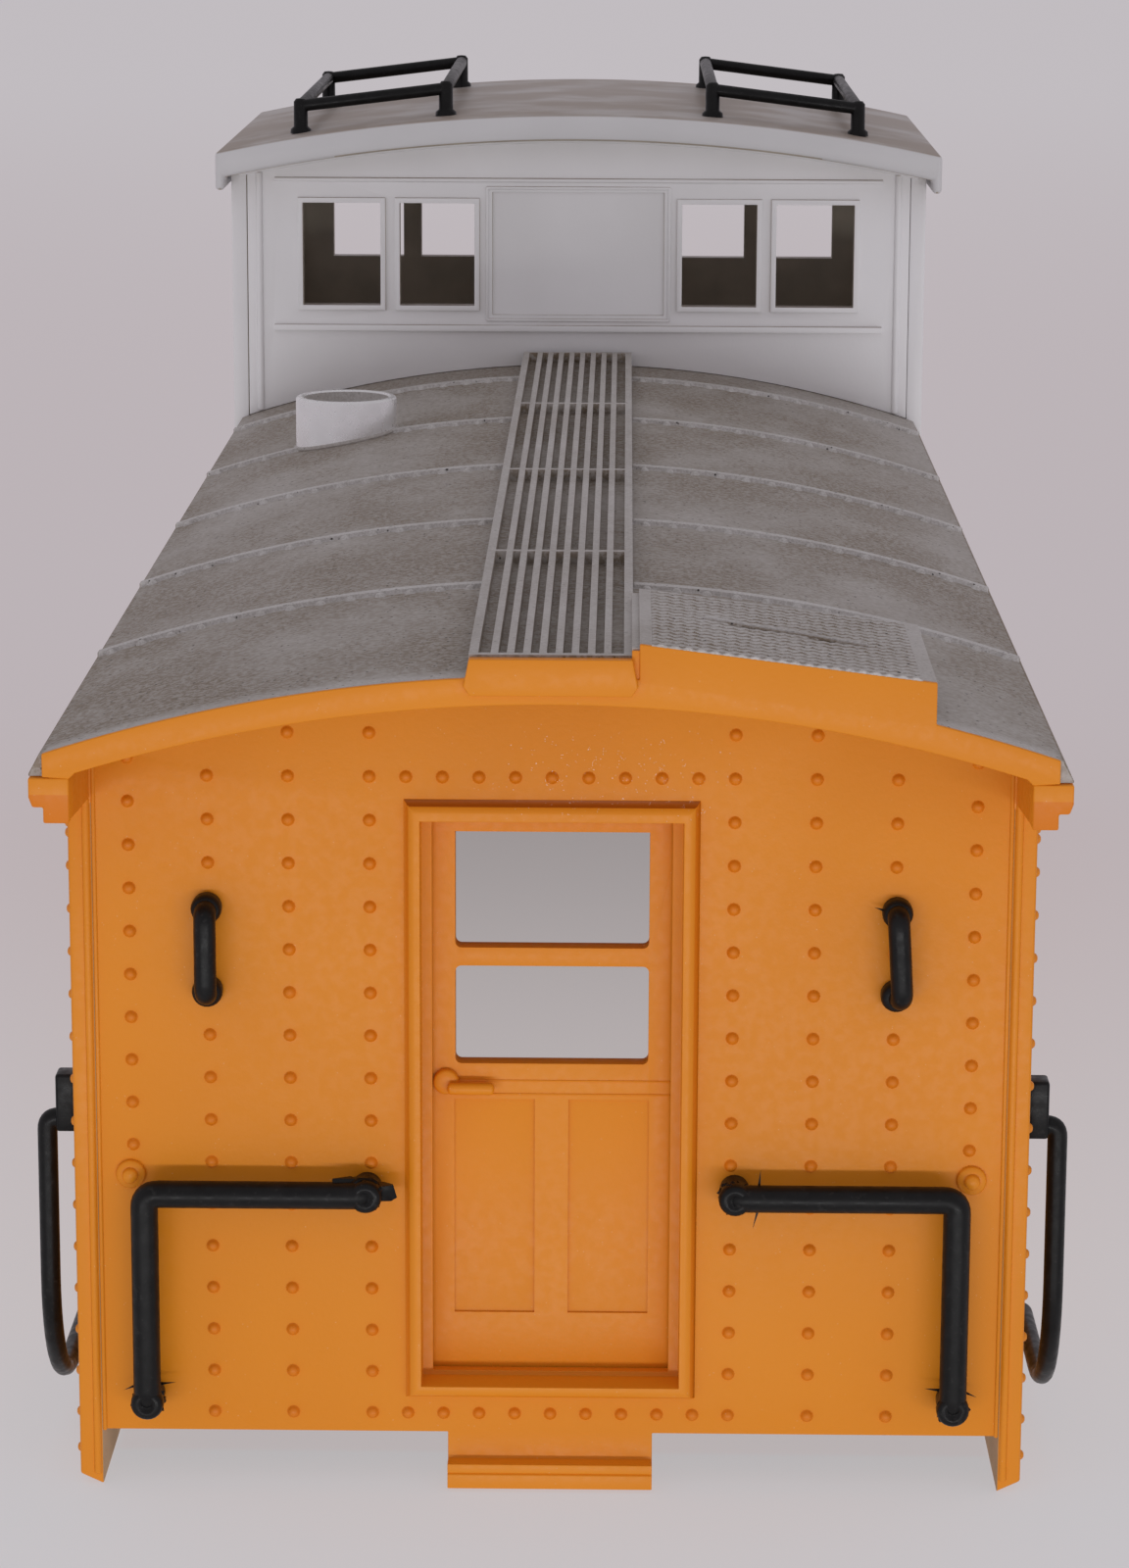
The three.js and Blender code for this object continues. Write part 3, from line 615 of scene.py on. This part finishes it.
def side_rivets(hand):
    """Rivet columns along the body side, and a row along its top and bottom."""
    sign = HANDS[hand]
    bm = bmesh.new()
    normal = (sign, 0, 0)
    windows = [-78, -26, 20] if sign > 0 else [78, 26, -20]
    reach = HALF_LENGTH - 1.4 * MM
    pitch = RIVET_PITCH

    def blocked(y, z):
        if any(abs(y - w * MM) < 6.3 * MM for w in windows) and 25.4 * MM < z < 39.6 * MM:
            return True
        under_cupola = CUPOLA_LOW.y - 0.6 * MM < y < CUPOLA_HIGH.y + 0.6 * MM
        return under_cupola and z > CUPOLA_LOW.z - 0.6 * MM

    columns = [-reach, reach]
    seam = -reach + 22 * MM
    while seam < reach - 8 * MM:
        columns += [seam - 0.9 * MM, seam + 0.9 * MM]
        seam += 22.2 * MM
    for y in columns:
        for k in range(2, 17):
            z = RIVET_TOP_ROW - (k + 0.2) * pitch
            if not blocked(y, z):
                rivet(bm, Vector((sign * SIDE_FACE, y, z)), normal, sides=10)
    count = int(2 * reach / pitch)
    for z in (2.1 * MM, 45.6 * MM):
        for i in range(count + 1):
            y = -reach + i * (2 * reach / count)
            if not blocked(y, z):
                rivet(bm, Vector((sign * SIDE_FACE, y, z)), normal, sides=10)
    add_piece(f"side_rivets_{hand}", bm, YELLOW, "shell", sharp=50)


def below_step(face):
    """True for the end of a gutter below its step."""
    return abs(face.normal.y) > 0.7 and face.calc_center_median().z < GUTTER_STEP


def frame_corner(edge):
    """True for an outer arris of the raised door frame."""
    middle = (edge.verts[0].co + edge.verts[1].co) / 2
    half, low, high = FRAME_FRONT
    near = 0.02 * MM
    proud = abs(middle.y) > HALF_LENGTH + FRAME_PROUD - 2 * near
    upright = abs(abs(middle.x) - half) < near and low - MM < middle.z < high + MM
    level = min(abs(middle.z - low), abs(middle.z - high)) < near and abs(middle.x) < half + near
    return proud and (upright or level)


def wall_paint(face):
    """The paint's place in an end wall's list: bare within, and painted shade on the door frame's outer
    flanks, darkest on the top one.
    """
    centre = face.calc_center_median()
    proud = abs(centre.y) - HALF_LENGTH
    if proud < -2 * MM and inward_y(face):
        return 1
    half, low, high = FRAME_FRONT
    beyond = abs(centre.x) > half - 0.03 * MM or not low + 0.05 * MM < centre.z < high - 0.05 * MM
    in_frame = abs(centre.x) < half + 0.45 * MM and centre.z > low - 0.5 * MM
    on_flank = 0.08 * MM < proud < FRAME_PROUD - 0.15 * MM and abs(face.normal.y) < 0.6
    # Painted shade on the door frame's outer flanks: the deeper yellow at its sides and foot, the crease
    # shade on its top slope.
    if on_flank and beyond and in_frame:
        return 3 if face.normal.z > 0.5 else 2
    return 0


def body_walls():
    for place in ENDS:
        bm = cad_solid(f"end_wall_{place}")
        arrises = [e for e in bm.edges if frame_corner(e)]
        bmesh.ops.bevel(bm, geom=arrises, offset=0.4 * MM, segments=5, profile=0.5, affect="EDGES")
        bm = eased(bm, 0.14 * MM)
        for face in bm.faces:
            face.material_index = wall_paint(face)
        node = f"end_wall_{place}"
        add_mesh(f"{node}_moulding", mesh_of(bm, node), [YELLOW, INSIDE, SHADED_YELLOW, CREASE_SHADE], "shell", node)
        end_rivets(place)
        post_beads(place)
        eave_joint(place)
    for hand in HANDS:
        coated(f"side_{hand}", YELLOW, 0.18 * MM, inner=INSIDE, looks_in=inward_x)
        side_rivets(hand)
        for part in ("front", "rear"):
            # Each gutter's end below its step takes the deeper yellow, as painted shade.
            coated(f"eave_rail_{part}_{hand}", YELLOW, 0.12 * MM, inner=SHADED_YELLOW, looks_in=below_step,
                   slice_at=GUTTER_STEP)


# ---------------------------------------------------------------- doors


def door_trim(place):
    """The faint mouldings on the rail across the leaf, beside the handle."""
    bm = bmesh.new()
    for z in (28.3, 27.35):
        tube(bm, [at(-6.3, 2.29, z), at(8.0, 2.29, z)], 0.07 * MM, 8)
    bm.transform(ENDS[place])
    add_piece(f"door_trim_{place}", bm, YELLOW, f"door_{place}")


def loop_of_rod(bm, corners, y, radius):
    for (xa, za), (xb, zb) in zip(corners, corners[1:] + corners[:1]):
        tube(bm, [at(xa, y, za), at(xb, y, zb)], radius * MM, 8)


def pane_corner(edge):
    """True for an edge through the leaf at a window's corner, except the leaf's top pair."""
    a, b = edge.verts[0].co, edge.verts[1].co
    runs_through = abs(a.y - b.y) > MM and abs(a.x - b.x) + abs(a.z - b.z) < 0.01 * MM
    return runs_through and abs(abs(a.x) - PANE_HALF) < 0.02 * MM and 29 * MM < a.z < 45 * MM


def door_leaf(place):
    bm = cad_solid(f"door_{place}")
    corners = [e for e in bm.edges if pane_corner(e)]
    bmesh.ops.bevel(bm, geom=corners, offset=0.42 * MM, segments=5, profile=0.5, affect="EDGES")
    inner = HALF_LENGTH - 3 * MM
    coated_mesh(eased(bm, 0.13 * MM), f"door_{place}", YELLOW, INSIDE,
                lambda f: inward_y(f) and abs(f.calc_center_median().y) < inner)


def door_handle(place):
    """A domed rose and a straight round lever."""
    bm = bmesh.new()
    x, z, face = -7.15, 28.28, 2.25
    rose = [(0, 0), (0.88, 0), (0.88, 0.32), (0.82, 0.48), (0.7, 0.56), (0.3, 0.6), (0, 0.6)]
    lathe(bm, [(r * MM, h * MM) for r, h in rose], facing(at(x, face, z), (0, -1, 0)), 24)
    lever = [at(x + 0.35, face - 0.95, z - 0.28), at(x + 1.3, face - 0.97, z - 0.28),
             at(-4.1, face - 0.9, z - 0.3)]
    tube(bm, lever, 0.42 * MM, 16)
    bm.transform(ENDS[place])
    add_piece(f"door_lever_{place}", bm, YELLOW, f"door_{place}", f"door_handle_{place}", sharp=45)


def doors():
    for place in ENDS:
        door_leaf(place)
        door_trim(place)
        door_handle(place)
        frame["nodes"][f"hinge_pin_{place}"].material_slots[0].material = STEEL


# ---------------------------------------------------------------- roof


def roof_rivets():
    """Rivets along the near side of each rib."""
    bm = bmesh.new()
    pitch = 2.14 * MM
    for k in range(-3, 2):
        y = k * RIB_SPACING - RIB_WIDTH / 2 - 0.38 * MM
        for sign in (-1, 1):
            x = BOARD_HALF + 1.0 * MM
            while x < ROOF_EDGE - 0.8 * MM:
                near_jack = k == 0 and abs(sign * x - JACK_X) < 5.2 * MM
                if not near_jack:
                    place = Vector((sign * x, y, arch(x, ROOF_RADIUS, ROOF_CROWN)))
                    normal = Vector((sign * x, 0, place.z - ROOF_CROWN + ROOF_RADIUS)).normalized()
                    rivet(bm, place, normal, 0.36 * MM, 0.28 * MM, 8)
                x += pitch
    # The rivets take the clean silver: less dust, and a painted highlight on their heads.
    add_piece("roof_rivets", bm, CLEAN_AND_LIT, "shell", sharp=50)


def tread_top(x):
    return TREAD_HIGH + (TREAD_LOW - TREAD_HIGH) / TREAD_WIDTH * (x - TREAD_INNER)


def treads():
    """Each platform with its lines of seam and lip, and its treadplate."""
    for place, matrix in ENDS.items():
        coated(f"tread_platform_{place}", SILVER, 0.1 * MM)
        tread_lines(place, matrix)
        treadplate(place, matrix)
        close_gaps(place)


def tread_lines(place, matrix):
    """The raised seam across the plate with a painted shadow along its foot, and the plate's wavy front
    lip.
    """
    seam = [at(10.1, 4.0, 0), at(13, 3.3, 0), at(16, 2.9, 0), at(18.5, 2.1, 0), at(20.7, 1.7, 0)]
    for point in seam:
        point.z = tread_top(point.x) + PLATE_RIDGE
    line = rounded(seam, 0.3 * MM, 3)
    for i, point in enumerate(line):
        point.y += 0.08 * MM * math.sin(2.4 * i)
    # Painted shadow: a thin dark bar set just in front of the seam, along its foot.
    foot = [point - at(0, 0.42, 0.02) for point in line]
    lip = []
    for i in range(109):
        x = PLATE_X[0] + i * 0.16 * MM
        sway = 0.07 * MM * math.sin(2 * math.pi * x / PLATE_WAVE)
        lip.append(Vector((x, -7.52 * MM, tread_top(x) + sway - 0.02 * MM)))
    # The seam takes the clean silver: less dust, and a painted highlight along its top.
    for name, path, radius, paint in (("mark", line, 0.2, CLEAN_AND_LIT), ("mark_shadow", foot, 0.12, DIRT_AND_SHADE),
                                      ("lip", lip, 0.15, TREAD)):
        bm = bmesh.new()
        tube(bm, path, radius * MM, 8)
        bm.transform(matrix)
        add_piece(f"tread_{name}_{place}", bm, paint, "shell")


def treadplate(place, matrix):
    """Close ridges that wave from side to side, inside a smooth border."""
    (x0, x1), (y0, y1) = PLATE_X, PLATE_Y
    pitch, swing = 1.10 * MM, 0.16 * MM
    columns, rows, margin = 152, 150, 0.2 * MM
    bm = bmesh.new()
    grid = []
    for j in range(rows + 1):
        y = y0 + (y1 - y0) * j / rows
        line = []
        for i in range(columns + 1):
            x = x0 + (x1 - x0) * i / columns
            phase = (y + swing * math.sin(2 * math.pi * x / PLATE_WAVE)) / pitch
            ridge = (0.5 + 0.5 * math.cos(2 * math.pi * phase)) ** 1.5
            fade = min(1, (x - x0) / margin, (x1 - x) / margin, (y1 - y) / margin, 0.8 + (y - y0) / MM)
            z = tread_top(x) + 0.015 * MM + PLATE_RIDGE * ridge * max(fade, 0)
            line.append((bm.verts.new((x, y, z)), ridge))
        grid.append(line)
    for a, b in zip(grid, grid[1:]):
        for i in range(columns):
            face = bm.faces.new((a[i][0], a[i + 1][0], b[i + 1][0], b[i][0]))
            # The valleys between the ridges take the dirt-and-shade silver: dust, and painted shade in
            # them.
            face.material_index = 0 if a[i][1] > 0.2 else 1
    rim = [e for e in bm.edges if e.is_boundary]
    skirt = bmesh.ops.extrude_edge_only(bm, edges=rim)["geom"]
    for vert in (v for v in skirt if isinstance(v, bmesh.types.BMVert)):
        vert.co.z -= 0.15 * MM
    bottom = [e for e in bm.edges if e.is_boundary]
    bmesh.ops.contextual_create(bm, geom=bottom)
    bmesh.ops.recalc_face_normals(bm, faces=bm.faces)
    bm.transform(matrix)
    add_mesh(f"treadplate_{place}", mesh_of(bm, "treadplate"), [TREAD, DIRT_AND_SHADE], "shell", sharp=180)


def close_gaps(place):
    """Covers the joint between the running board and the tread platform."""
    fillers = (("joint", SILVER, -7.2, 12.6, 60.05), ("joint_end", YELLOW, -7.55, -7.2, 59.9))
    for name, material, y0, y1, top in fillers:
        bm = bmesh.new()
        block(bm, 5.2 * MM, 5.85 * MM, y0 * MM, y1 * MM, 57.6 * MM, top * MM)
        bm.transform(ENDS[place])
        add_piece(f"tread_{name}_{place}", eased(bm, 0.06 * MM), material, "shell")


def inside_cupola(face):
    centre = face.calc_center_median()
    return CUPOLA_LOW.y < centre.y < CUPOLA_HIGH.y and face.normal.z > 0.5


def between_slats(face):
    return face.calc_center_median().z < BOARD_TOP - 0.3 * MM


def roof():
    bm = eased(cad_solid("roof"), 0.1 * MM)
    for y in (CUPOLA_LOW.y + 0.7 * MM, CUPOLA_HIGH.y - 0.7 * MM):
        bmesh.ops.bisect_plane(bm, geom=bm.verts[:] + bm.edges[:] + bm.faces[:], dist=1e-7,
                               plane_co=(0, y, 0), plane_no=(0, 1, 0))
    for face in bm.faces:
        centre = face.calc_center_median()
        if inside_cupola(face):
            face.material_index = 1
        elif face.normal.z < -0.5 and abs(centre.y) < HALF_LENGTH - 1 * MM:
            face.material_index = 2
        elif abs(centre.x) > ROOF_EDGE - 0.15 * MM:
            face.material_index = 3
    add_mesh("roof_sheet", mesh_of(bm, "roof"), [ROOFING, DARK, INSIDE, SOILED], "shell", "roof", sharp=25)
    roof_rivets()
    treads()
    for place in ENDS:
        coated(f"roof_fascia_{place}", YELLOW, 0.14 * MM)
        # The slots' floors between the slats take the dirt-and-shade silver: dust, and painted shade.
        coated(f"running_board_{place}", SILVER, 0.06 * MM, 1, inner=DIRT_AND_SHADE, looks_in=between_slats)


def smokejack():
    """An open tube with a rounded rim, and the flashing round its foot."""
    bm = bmesh.new()
    x, y = JACK_X, JACK_Y
    base = arch(x, ROOF_RADIUS, ROOF_CROWN) - 1.2 * MM
    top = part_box("smokejack")[1].z
    outer, inner, floor = 4.55 * MM, 3.85 * MM, 57.4 * MM
    profile = [(0, base), (outer, base), (outer, top - 0.25 * MM), (outer - 0.1 * MM, top - 0.07 * MM),
               (outer - 0.28 * MM, top), (inner + 0.15 * MM, top), (inner, top - 0.15 * MM),
               (inner, floor + 0.3 * MM), (inner - 0.3 * MM, floor), (0, floor)]
    lathe(bm, profile, Matrix.Translation((x, y, 0)), 64)
    # Painted shade: the faces inside the bore take the duller tread silver instead of the bright plating.
    for face in bm.faces:
        centre = face.calc_center_median()
        within = math.hypot(centre.x - x, centre.y - y) < inner + 0.05 * MM
        face.material_index = 1 if within and centre.z < top - 0.1 * MM else 0
    add_mesh("smokejack_tube", mesh_of(bm, "smokejack"), [BRIGHT, TREAD], "shell", "smokejack", sharp=40)
    ring = bmesh.new()
    rim = []
    for i in range(49):
        angle = 2 * math.pi * i / 48
        px, py = x + outer * math.cos(angle), y + outer * math.sin(angle)
        rim.append(Vector((px, py, arch(px, ROOF_RADIUS, ROOF_CROWN) + 0.12 * MM)))
    tube(ring, rim, 0.22 * MM, 8)
    add_piece("smokejack_flashing", ring, SILVER, "shell")


# ---------------------------------------------------------------- cupola


def cupola_in(face):
    """True for a face that looks into the cupola."""
    centre = face.calc_center_median()
    middle = (CUPOLA_LOW.y + CUPOLA_HIGH.y) / 2
    towards = Vector((-centre.x, middle - centre.y, 0))
    if abs(face.normal.y) > 0.9:
        return face.normal.y * towards.y > 0
    return abs(face.normal.x) > 0.9 and face.normal.x * towards.x > 0


def cupola():
    for place in ENDS:
        coated(f"cupola_wall_{place}", WHITE, 0.12 * MM, inner=DARK, looks_in=cupola_in)
    for hand in HANDS:
        inner_face = (abs(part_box(f"cupola_side_{hand}")[0 if hand == "right" else 1].x)) + 1.2 * MM
        coated(f"cupola_side_{hand}", WHITE, 0.14 * MM, inner=DARK,
               looks_in=lambda f, edge=inner_face: cupola_in(f) and abs(f.calc_center_median().x) < edge)
    coated("cupola_roof", DULL, 0.35 * MM, 3, inner=DARK, looks_in=lambda f: f.normal.z < -0.7)
    cupola_trim()


def cupola_trim():
    """Corner beads, the line under the roof, and the frame round the middle panel."""
    bm = bmesh.new()
    base, top = 57.0, 76.8
    for y, out in ((CUPOLA_LOW.y, -1), (CUPOLA_HIGH.y, 1)):
        y_mm = y / MM
        for sign in (-1, 1):
            x = sign * 31.2
            low = arch(31.2 * MM, ROOF_RADIUS, ROOF_CROWN) / MM + 0.3
            tube(bm, [at(x, y_mm + out * 0.05, low), at(x, y_mm + out * 0.05, top)], 0.32 * MM, 10)
        bar = at(-29.6, y_mm + out * 0.05, 76.25), at(29.6, y_mm + out * 0.05, 76.25)
        tube(bm, list(bar), 0.22 * MM, 10)
        lift = CUPOLA_CROWN / MM - 2.62
        crown = [at(x, y_mm + out * 0.1, arch(x * MM, CUPOLA_RADIUS, lift * MM) / MM)
                 for x in range(-33, 34)]
        tube(bm, crown, 0.3 * MM, 10)
        corners = [(-8.9, 62.6), (8.9, 62.6), (8.9, 75.5), (-8.9, 75.5)]
        loop_of_rod(bm, corners, y_mm + out * 0.04, 0.16)
    add_piece("cupola_trim", bm, WHITE, "shell")


def cupola_rails():
    for hand, sign in HANDS.items():
        bm = bmesh.new()
        low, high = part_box(f"cupola_rail_{hand}")
        inset = 0.75 * MM
        xs, ys = (low.x + inset, high.x - inset), (low.y + inset, high.y - inset)

        def bar_height(x):
            return arch(x, CUPOLA_RADIUS, CUPOLA_CROWN) + 2.6 * MM

        plan = (xs[0], ys[0]), (xs[1], ys[0]), (xs[1], ys[1]), (xs[0], ys[1])
        ring = [Vector((x, y, bar_height(x))) for x, y in plan]
        for a, b in zip(ring, ring[1:] + ring[:1]):
            tube(bm, [a, b], SLIM_ROD, 14)
        for corner in ring:
            foot = arch(corner.x, CUPOLA_RADIUS, CUPOLA_CROWN)
            post = [(0, foot - 0.05 * MM), (1.05 * MM, foot - 0.05 * MM), (1.0 * MM, foot + 0.35 * MM),
                    (0.7 * MM, foot + 0.6 * MM), (0.68 * MM, corner.z + 0.4 * MM),
                    (0.45 * MM, corner.z + 0.7 * MM), (0, corner.z + 0.75 * MM)]
            lathe(bm, post, Matrix.Translation((corner.x, corner.y, 0)), 16)
        add_piece(f"cupola_handrail_{hand}", bm, BLACK, "shell", f"cupola_rail_{hand}", sharp=50)


# ---------------------------------------------------------------- handrails


def flash(bm, root, tip, width):
    """A thin torn sliver of plastic, left where the sprue was."""
    along = (tip - root).normalized()
    across = along.cross(Vector((0, 1, 0))).normalized() * width
    back = Vector((0, 0.12 * MM, 0))
    corners = (root - across, root + across, root + across + back, root - across + back)
    base = [bm.verts.new(corner) for corner in corners]
    point = bm.verts.new(tip)
    bm.faces.new(base)
    for a, b in zip(base, base[1:] + base[:1]):
        bm.faces.new((b, a, point))


def ragged(bm, centre, radius, count, draw):
    """Small torn lumps round the end of a moulded bar."""
    for _ in range(count):
        angle = draw.uniform(0, 2 * math.pi)
        size = draw.uniform(0.10, 0.26) * MM
        offset = Vector((math.cos(angle), draw.uniform(-0.6, 0.5), math.sin(angle))) * (radius - 0.06 * MM)
        spot = Matrix.Translation(centre + offset)
        for vert in bmesh.ops.create_icosphere(bm, subdivisions=1, radius=size, matrix=spot)["verts"]:
            vert.co += Vector([draw.uniform(-0.3, 0.3) * size for _ in range(3)])


def lump(bm, centre, reach, draw):
    """A torn lump of plastic: the hull of a few scattered points."""
    points = []
    for _ in range(14):
        way = Vector((draw.gauss(0, 1), draw.gauss(0, 1), draw.gauss(0, 1))).normalized()
        points.append(bm.verts.new(centre + Vector([c * r * MM for c, r in zip(way, reach)])))
    hull = bmesh.ops.convex_hull(bm, input=points)
    spare = {v for v in hull["geom_interior"] + hull["geom_unused"] if isinstance(v, bmesh.types.BMVert)}
    bmesh.ops.delete(bm, geom=list(spare), context="VERTS")


def set_on_end(bm, place, hand):
    """Mirrors a piece made for the right hand if it is a left one, and moves it to its end."""
    if HANDS[hand] < 0:
        bmesh.ops.scale(bm, vec=(-1, 1, 1), verts=bm.verts)
        bmesh.ops.reverse_faces(bm, faces=bm.faces)
    bm.transform(ENDS[place])


def end_rail(place, hand):
    """The L-shaped bar, its two flanged ends and their torn plastic."""
    bm = bmesh.new()
    draw = random.Random(f"{place}{hand}")
    out, inner, outer, high, low = -2.2, 12.4, 27.3, 21.5, 6.7
    path = rounded([
        at(inner, -0.05, high), at(inner, out, high), at(outer, out, high),
        at(outer, out, low), at(outer, -0.05, low),
    ], 0.95 * MM)
    tube(bm, path, END_ROD, 24, domed=(False, False))
    for x, z in ((inner, high), (outer, low)):
        head = [(0, 0.05), (1.0, 0.05), (1.03, 1.6), (1.12, 2.0), (1.1, 2.6), (0.95, 2.9), (0.66, 3.0),
                (0.5, 2.96), (0.36, 2.8), (0, 2.78)]
        lathe(bm, [(r * MM, h * MM) for r, h in head], facing(at(x, 0, z), (0, -1, 0)), 24)
        ragged(bm, at(x, -1.9, z), 1.05 * MM, 26, draw)
    if hand == "left":
        # The left bar tore at its inner end, and kept a ragged wedge of its sprue.
        lump(bm, at(inner - 0.9, -1.7, high + 0.1), (1.35, 0.9, 0.75), draw)
        lump(bm, at(inner + 1.5, -1.9, high + 0.55), (1.5, 0.8, 0.75), draw)
        lump(bm, at(inner + 0.2, -1.8, high + 0.5), (1.2, 0.9, 0.85), draw)
    else:
        flash(bm, at(inner + 1.6, -1.9, high + 0.7), at(inner + 1.7, -2.0, high + 2.0), 0.1 * MM)
        flash(bm, at(inner + 1.6, -1.9, high - 0.7), at(inner + 1.2, -2.0, high - 2.2), 0.1 * MM)
    flash(bm, at(outer + 0.8, -1.3, low + 0.9), at(outer + 1.7, -1.5, low + 0.6), 0.1 * MM)
    flash(bm, at(outer - 0.8, -1.3, low + 1.0), at(outer - 1.9, -1.5, low + 1.2), 0.1 * MM)
    set_on_end(bm, place, hand)
    add_piece(f"end_handrail_{place}_{hand}", bm, BLACK, "shell", f"end_rail_{place}_{hand}", sharp=50)


def end_grab(place, hand):
    bm = bmesh.new()
    x, out, low, high = 23, -2, 35.2, 40.9
    lean = 0.35 if hand == "right" else 0.0
    path = rounded([
        at(x, -0.05, high), at(x, out, high), at(x + lean, out, low), at(x, -0.05, low),
    ], 0.9 * MM)
    tube(bm, path, 0.74 * MM, 22, domed=(False, False))
    for z in (low, high):
        head = [(0, 0.05), (1.02, 0.05), (1.04, 0.7), (0.95, 1.1), (0.7, 1.3), (0, 1.3)]
        lathe(bm, [(r * MM, h * MM) for r, h in head], facing(at(x, 0, z), (0, -1, 0)), 22)
    if hand == "right":
        flash(bm, at(x - 0.8, -0.7, high + 0.2), at(x - 1.6, -0.9, high + 0.5), 0.1 * MM)
    set_on_end(bm, place, hand)
    add_piece(f"grab_iron_{place}_{hand}", bm, BLACK, "shell", f"end_grab_{place}_{hand}", sharp=50)


def side_rail(place, hand):
    """The curved bar on the body side, with its feet and the bracket at its top."""
    bm = bmesh.new()
    face, x, y, top, bend, bottom, reach = 32.25, 34.45, 3.5, 25.1, 9.5, 4.3, 25
    sweep = []
    for i in range(13):
        angle = math.pi / 2 * i / 12
        sweep.append(at(x, y + bend * (1 - math.cos(angle)), bottom + bend * (1 - math.sin(angle))))
    path = rounded([at(face, y, top), at(x, y, top), sweep[0]], 0.8 * MM)[:-1] + sweep
    path += rounded([sweep[-1], at(x, reach, bottom), at(face, reach, bottom)], 0.8 * MM)[1:]
    tube(bm, path, SIDE_ROD, 18, domed=(False, False))
    for spot in (at(face, reach, bottom), at(face, y, top)):
        lathe(bm, [(0, 0), (0.95 * MM, 0), (0.9 * MM, 0.5 * MM), (0.6 * MM, 0.8 * MM), (0, 0.8 * MM)],
              facing(spot, (1, 0, 0)), 18)
    bracket = bmesh.new()
    block(bracket, face * MM, (face + 1.5) * MM, (y - 1) * MM, (y + 1) * MM,
          (top - 0.75) * MM, (top + 3.3) * MM)
    holder = mesh_of(eased(bracket, 0.22 * MM, 3), "bracket")
    bm.from_mesh(holder)
    bpy.data.meshes.remove(holder)
    set_on_end(bm, place, hand)
    add_piece(f"side_handrail_{place}_{hand}", bm, BLACK, "shell", f"side_rail_{place}_{hand}", sharp=50)


def handrails():
    for place in ENDS:
        for hand in HANDS:
            end_rail(place, hand)
            end_grab(place, hand)
            side_rail(place, hand)
    cupola_rails()


# ---------------------------------------------------------------- camera, floor and light


def camera():
    data = bpy.data.cameras.new("camera")
    data.sensor_width = 36
    data.lens = 102.5
    data.clip_start = 0.01
    eye = Vector((4.57, -399.3, 114.2)) * MM
    pitch, yaw, roll = 0.22087, -0.01302, 0.00409
    ahead = Vector((math.sin(yaw) * math.cos(pitch), math.cos(yaw) * math.cos(pitch), -math.sin(pitch)))
    level = Vector((math.cos(yaw), -math.sin(yaw), 0))
    over = level.cross(ahead)
    right = level * math.cos(roll) + over * math.sin(roll)
    up = over * math.cos(roll) - level * math.sin(roll)
    view = bpy.data.objects.new("camera", data)
    view.matrix_world = Matrix.Translation(eye) @ Matrix((right, up, -ahead)).transposed().to_4x4()
    bpy.context.scene.collection.objects.link(view)
    bpy.context.scene.camera = view


def stage():
    """A pale table with the glow that a light tent gives it, painted dimmer inside and behind the model."""
    bm = bmesh.new()
    bmesh.ops.create_grid(bm, x_segments=1, y_segments=1, size=6)
    mesh = bpy.data.meshes.new("floor")
    bm.to_mesh(mesh)
    bm.free()
    floor = bpy.data.objects.new("floor", mesh)
    n = Nodes("floor")
    # Less light reaches the table inside the model, and least at its far end.
    x, y, z = n.place()
    within = n.math("MULTIPLY", n.step(n.math("ABSOLUTE", x), 31 * MM, 30 * MM),
                    n.step(n.math("ABSOLUTE", y), 105 * MM, 104 * MM))
    shade = n.step(y, 110 * MM, -40 * MM, 0.72, 1.08)
    inside = n.mix(1.0, (0.41, 0.386, 0.395), shade, "MULTIPLY")
    # The glow is painted dimmer on the table behind the model, and dimmer still far back.
    dimmer = n.math("MULTIPLY", n.step(y, -0.13, 0.12), n.step(y, 1.4, 0.3, 0.5, 1.0))
    around = n.mix(dimmer, (0.440, 0.438, 0.452), (0.372, 0.332, 0.342))
    glow = n.mix(within, around, inside)
    n.link(glow, n.shader.inputs["Emission Color"])
    n.shader.inputs["Emission Strength"].default_value = 1
    mesh.materials.append(n.finish((0.26, 0.25, 0.262), 0.9, specular=0.0))
    floor.visible_shadow = False
    bpy.context.scene.collection.objects.link(floor)


def strip_light(name, place, target, width, height, power):
    """A rectangular lamp at a place, turned to its target."""
    data = bpy.data.lights.new(name, "AREA")
    data.shape = "RECTANGLE"
    data.size, data.size_y = width, height
    data.energy = power
    data.cycles.use_multiple_importance_sampling = False
    lamp = bpy.data.objects.new(name, data)
    aim = (target - place).to_track_quat("-Z", "Y")
    lamp.matrix_world = Matrix.Translation(place) @ aim.to_matrix().to_4x4()
    bpy.context.scene.collection.objects.link(lamp)


def tent():
    """The walls of the light tent: bright round the sides, dimmer overhead."""
    world = bpy.data.worlds.new("tent")
    world.use_nodes = True
    tree = world.node_tree
    way = tree.nodes.new("ShaderNodeTexCoord").outputs["Generated"]
    split = tree.nodes.new("ShaderNodeSeparateXYZ")
    tree.links.new(way, split.inputs["Vector"])
    ramp = tree.nodes.new("ShaderNodeValToRGB")
    tree.links.new(split.outputs["Z"], ramp.inputs["Fac"])
    ramp.color_ramp.elements[0].position = 0.2
    ramp.color_ramp.elements[0].color = (0.52, 0.485, 0.52, 1)
    ramp.color_ramp.elements[1].position = 0.8
    ramp.color_ramp.elements[1].color = (0.50, 0.485, 0.505, 1)
    tree.links.new(ramp.outputs["Color"], tree.nodes["Background"].inputs["Color"])
    bpy.context.scene.world = world


def lights():
    tent()
    place, target = Vector((0.05, -1.15, -0.18)), Vector((0, -HALF_LENGTH, 0.026))
    strip_light("key", place, target, width=1.5, height=0.07, power=4.3)


body_walls()
doors()
roof()
smokejack()
cupola()
handrails()
camera()
stage()
lights()
bpy.context.scene.view_settings.view_transform = "Standard"
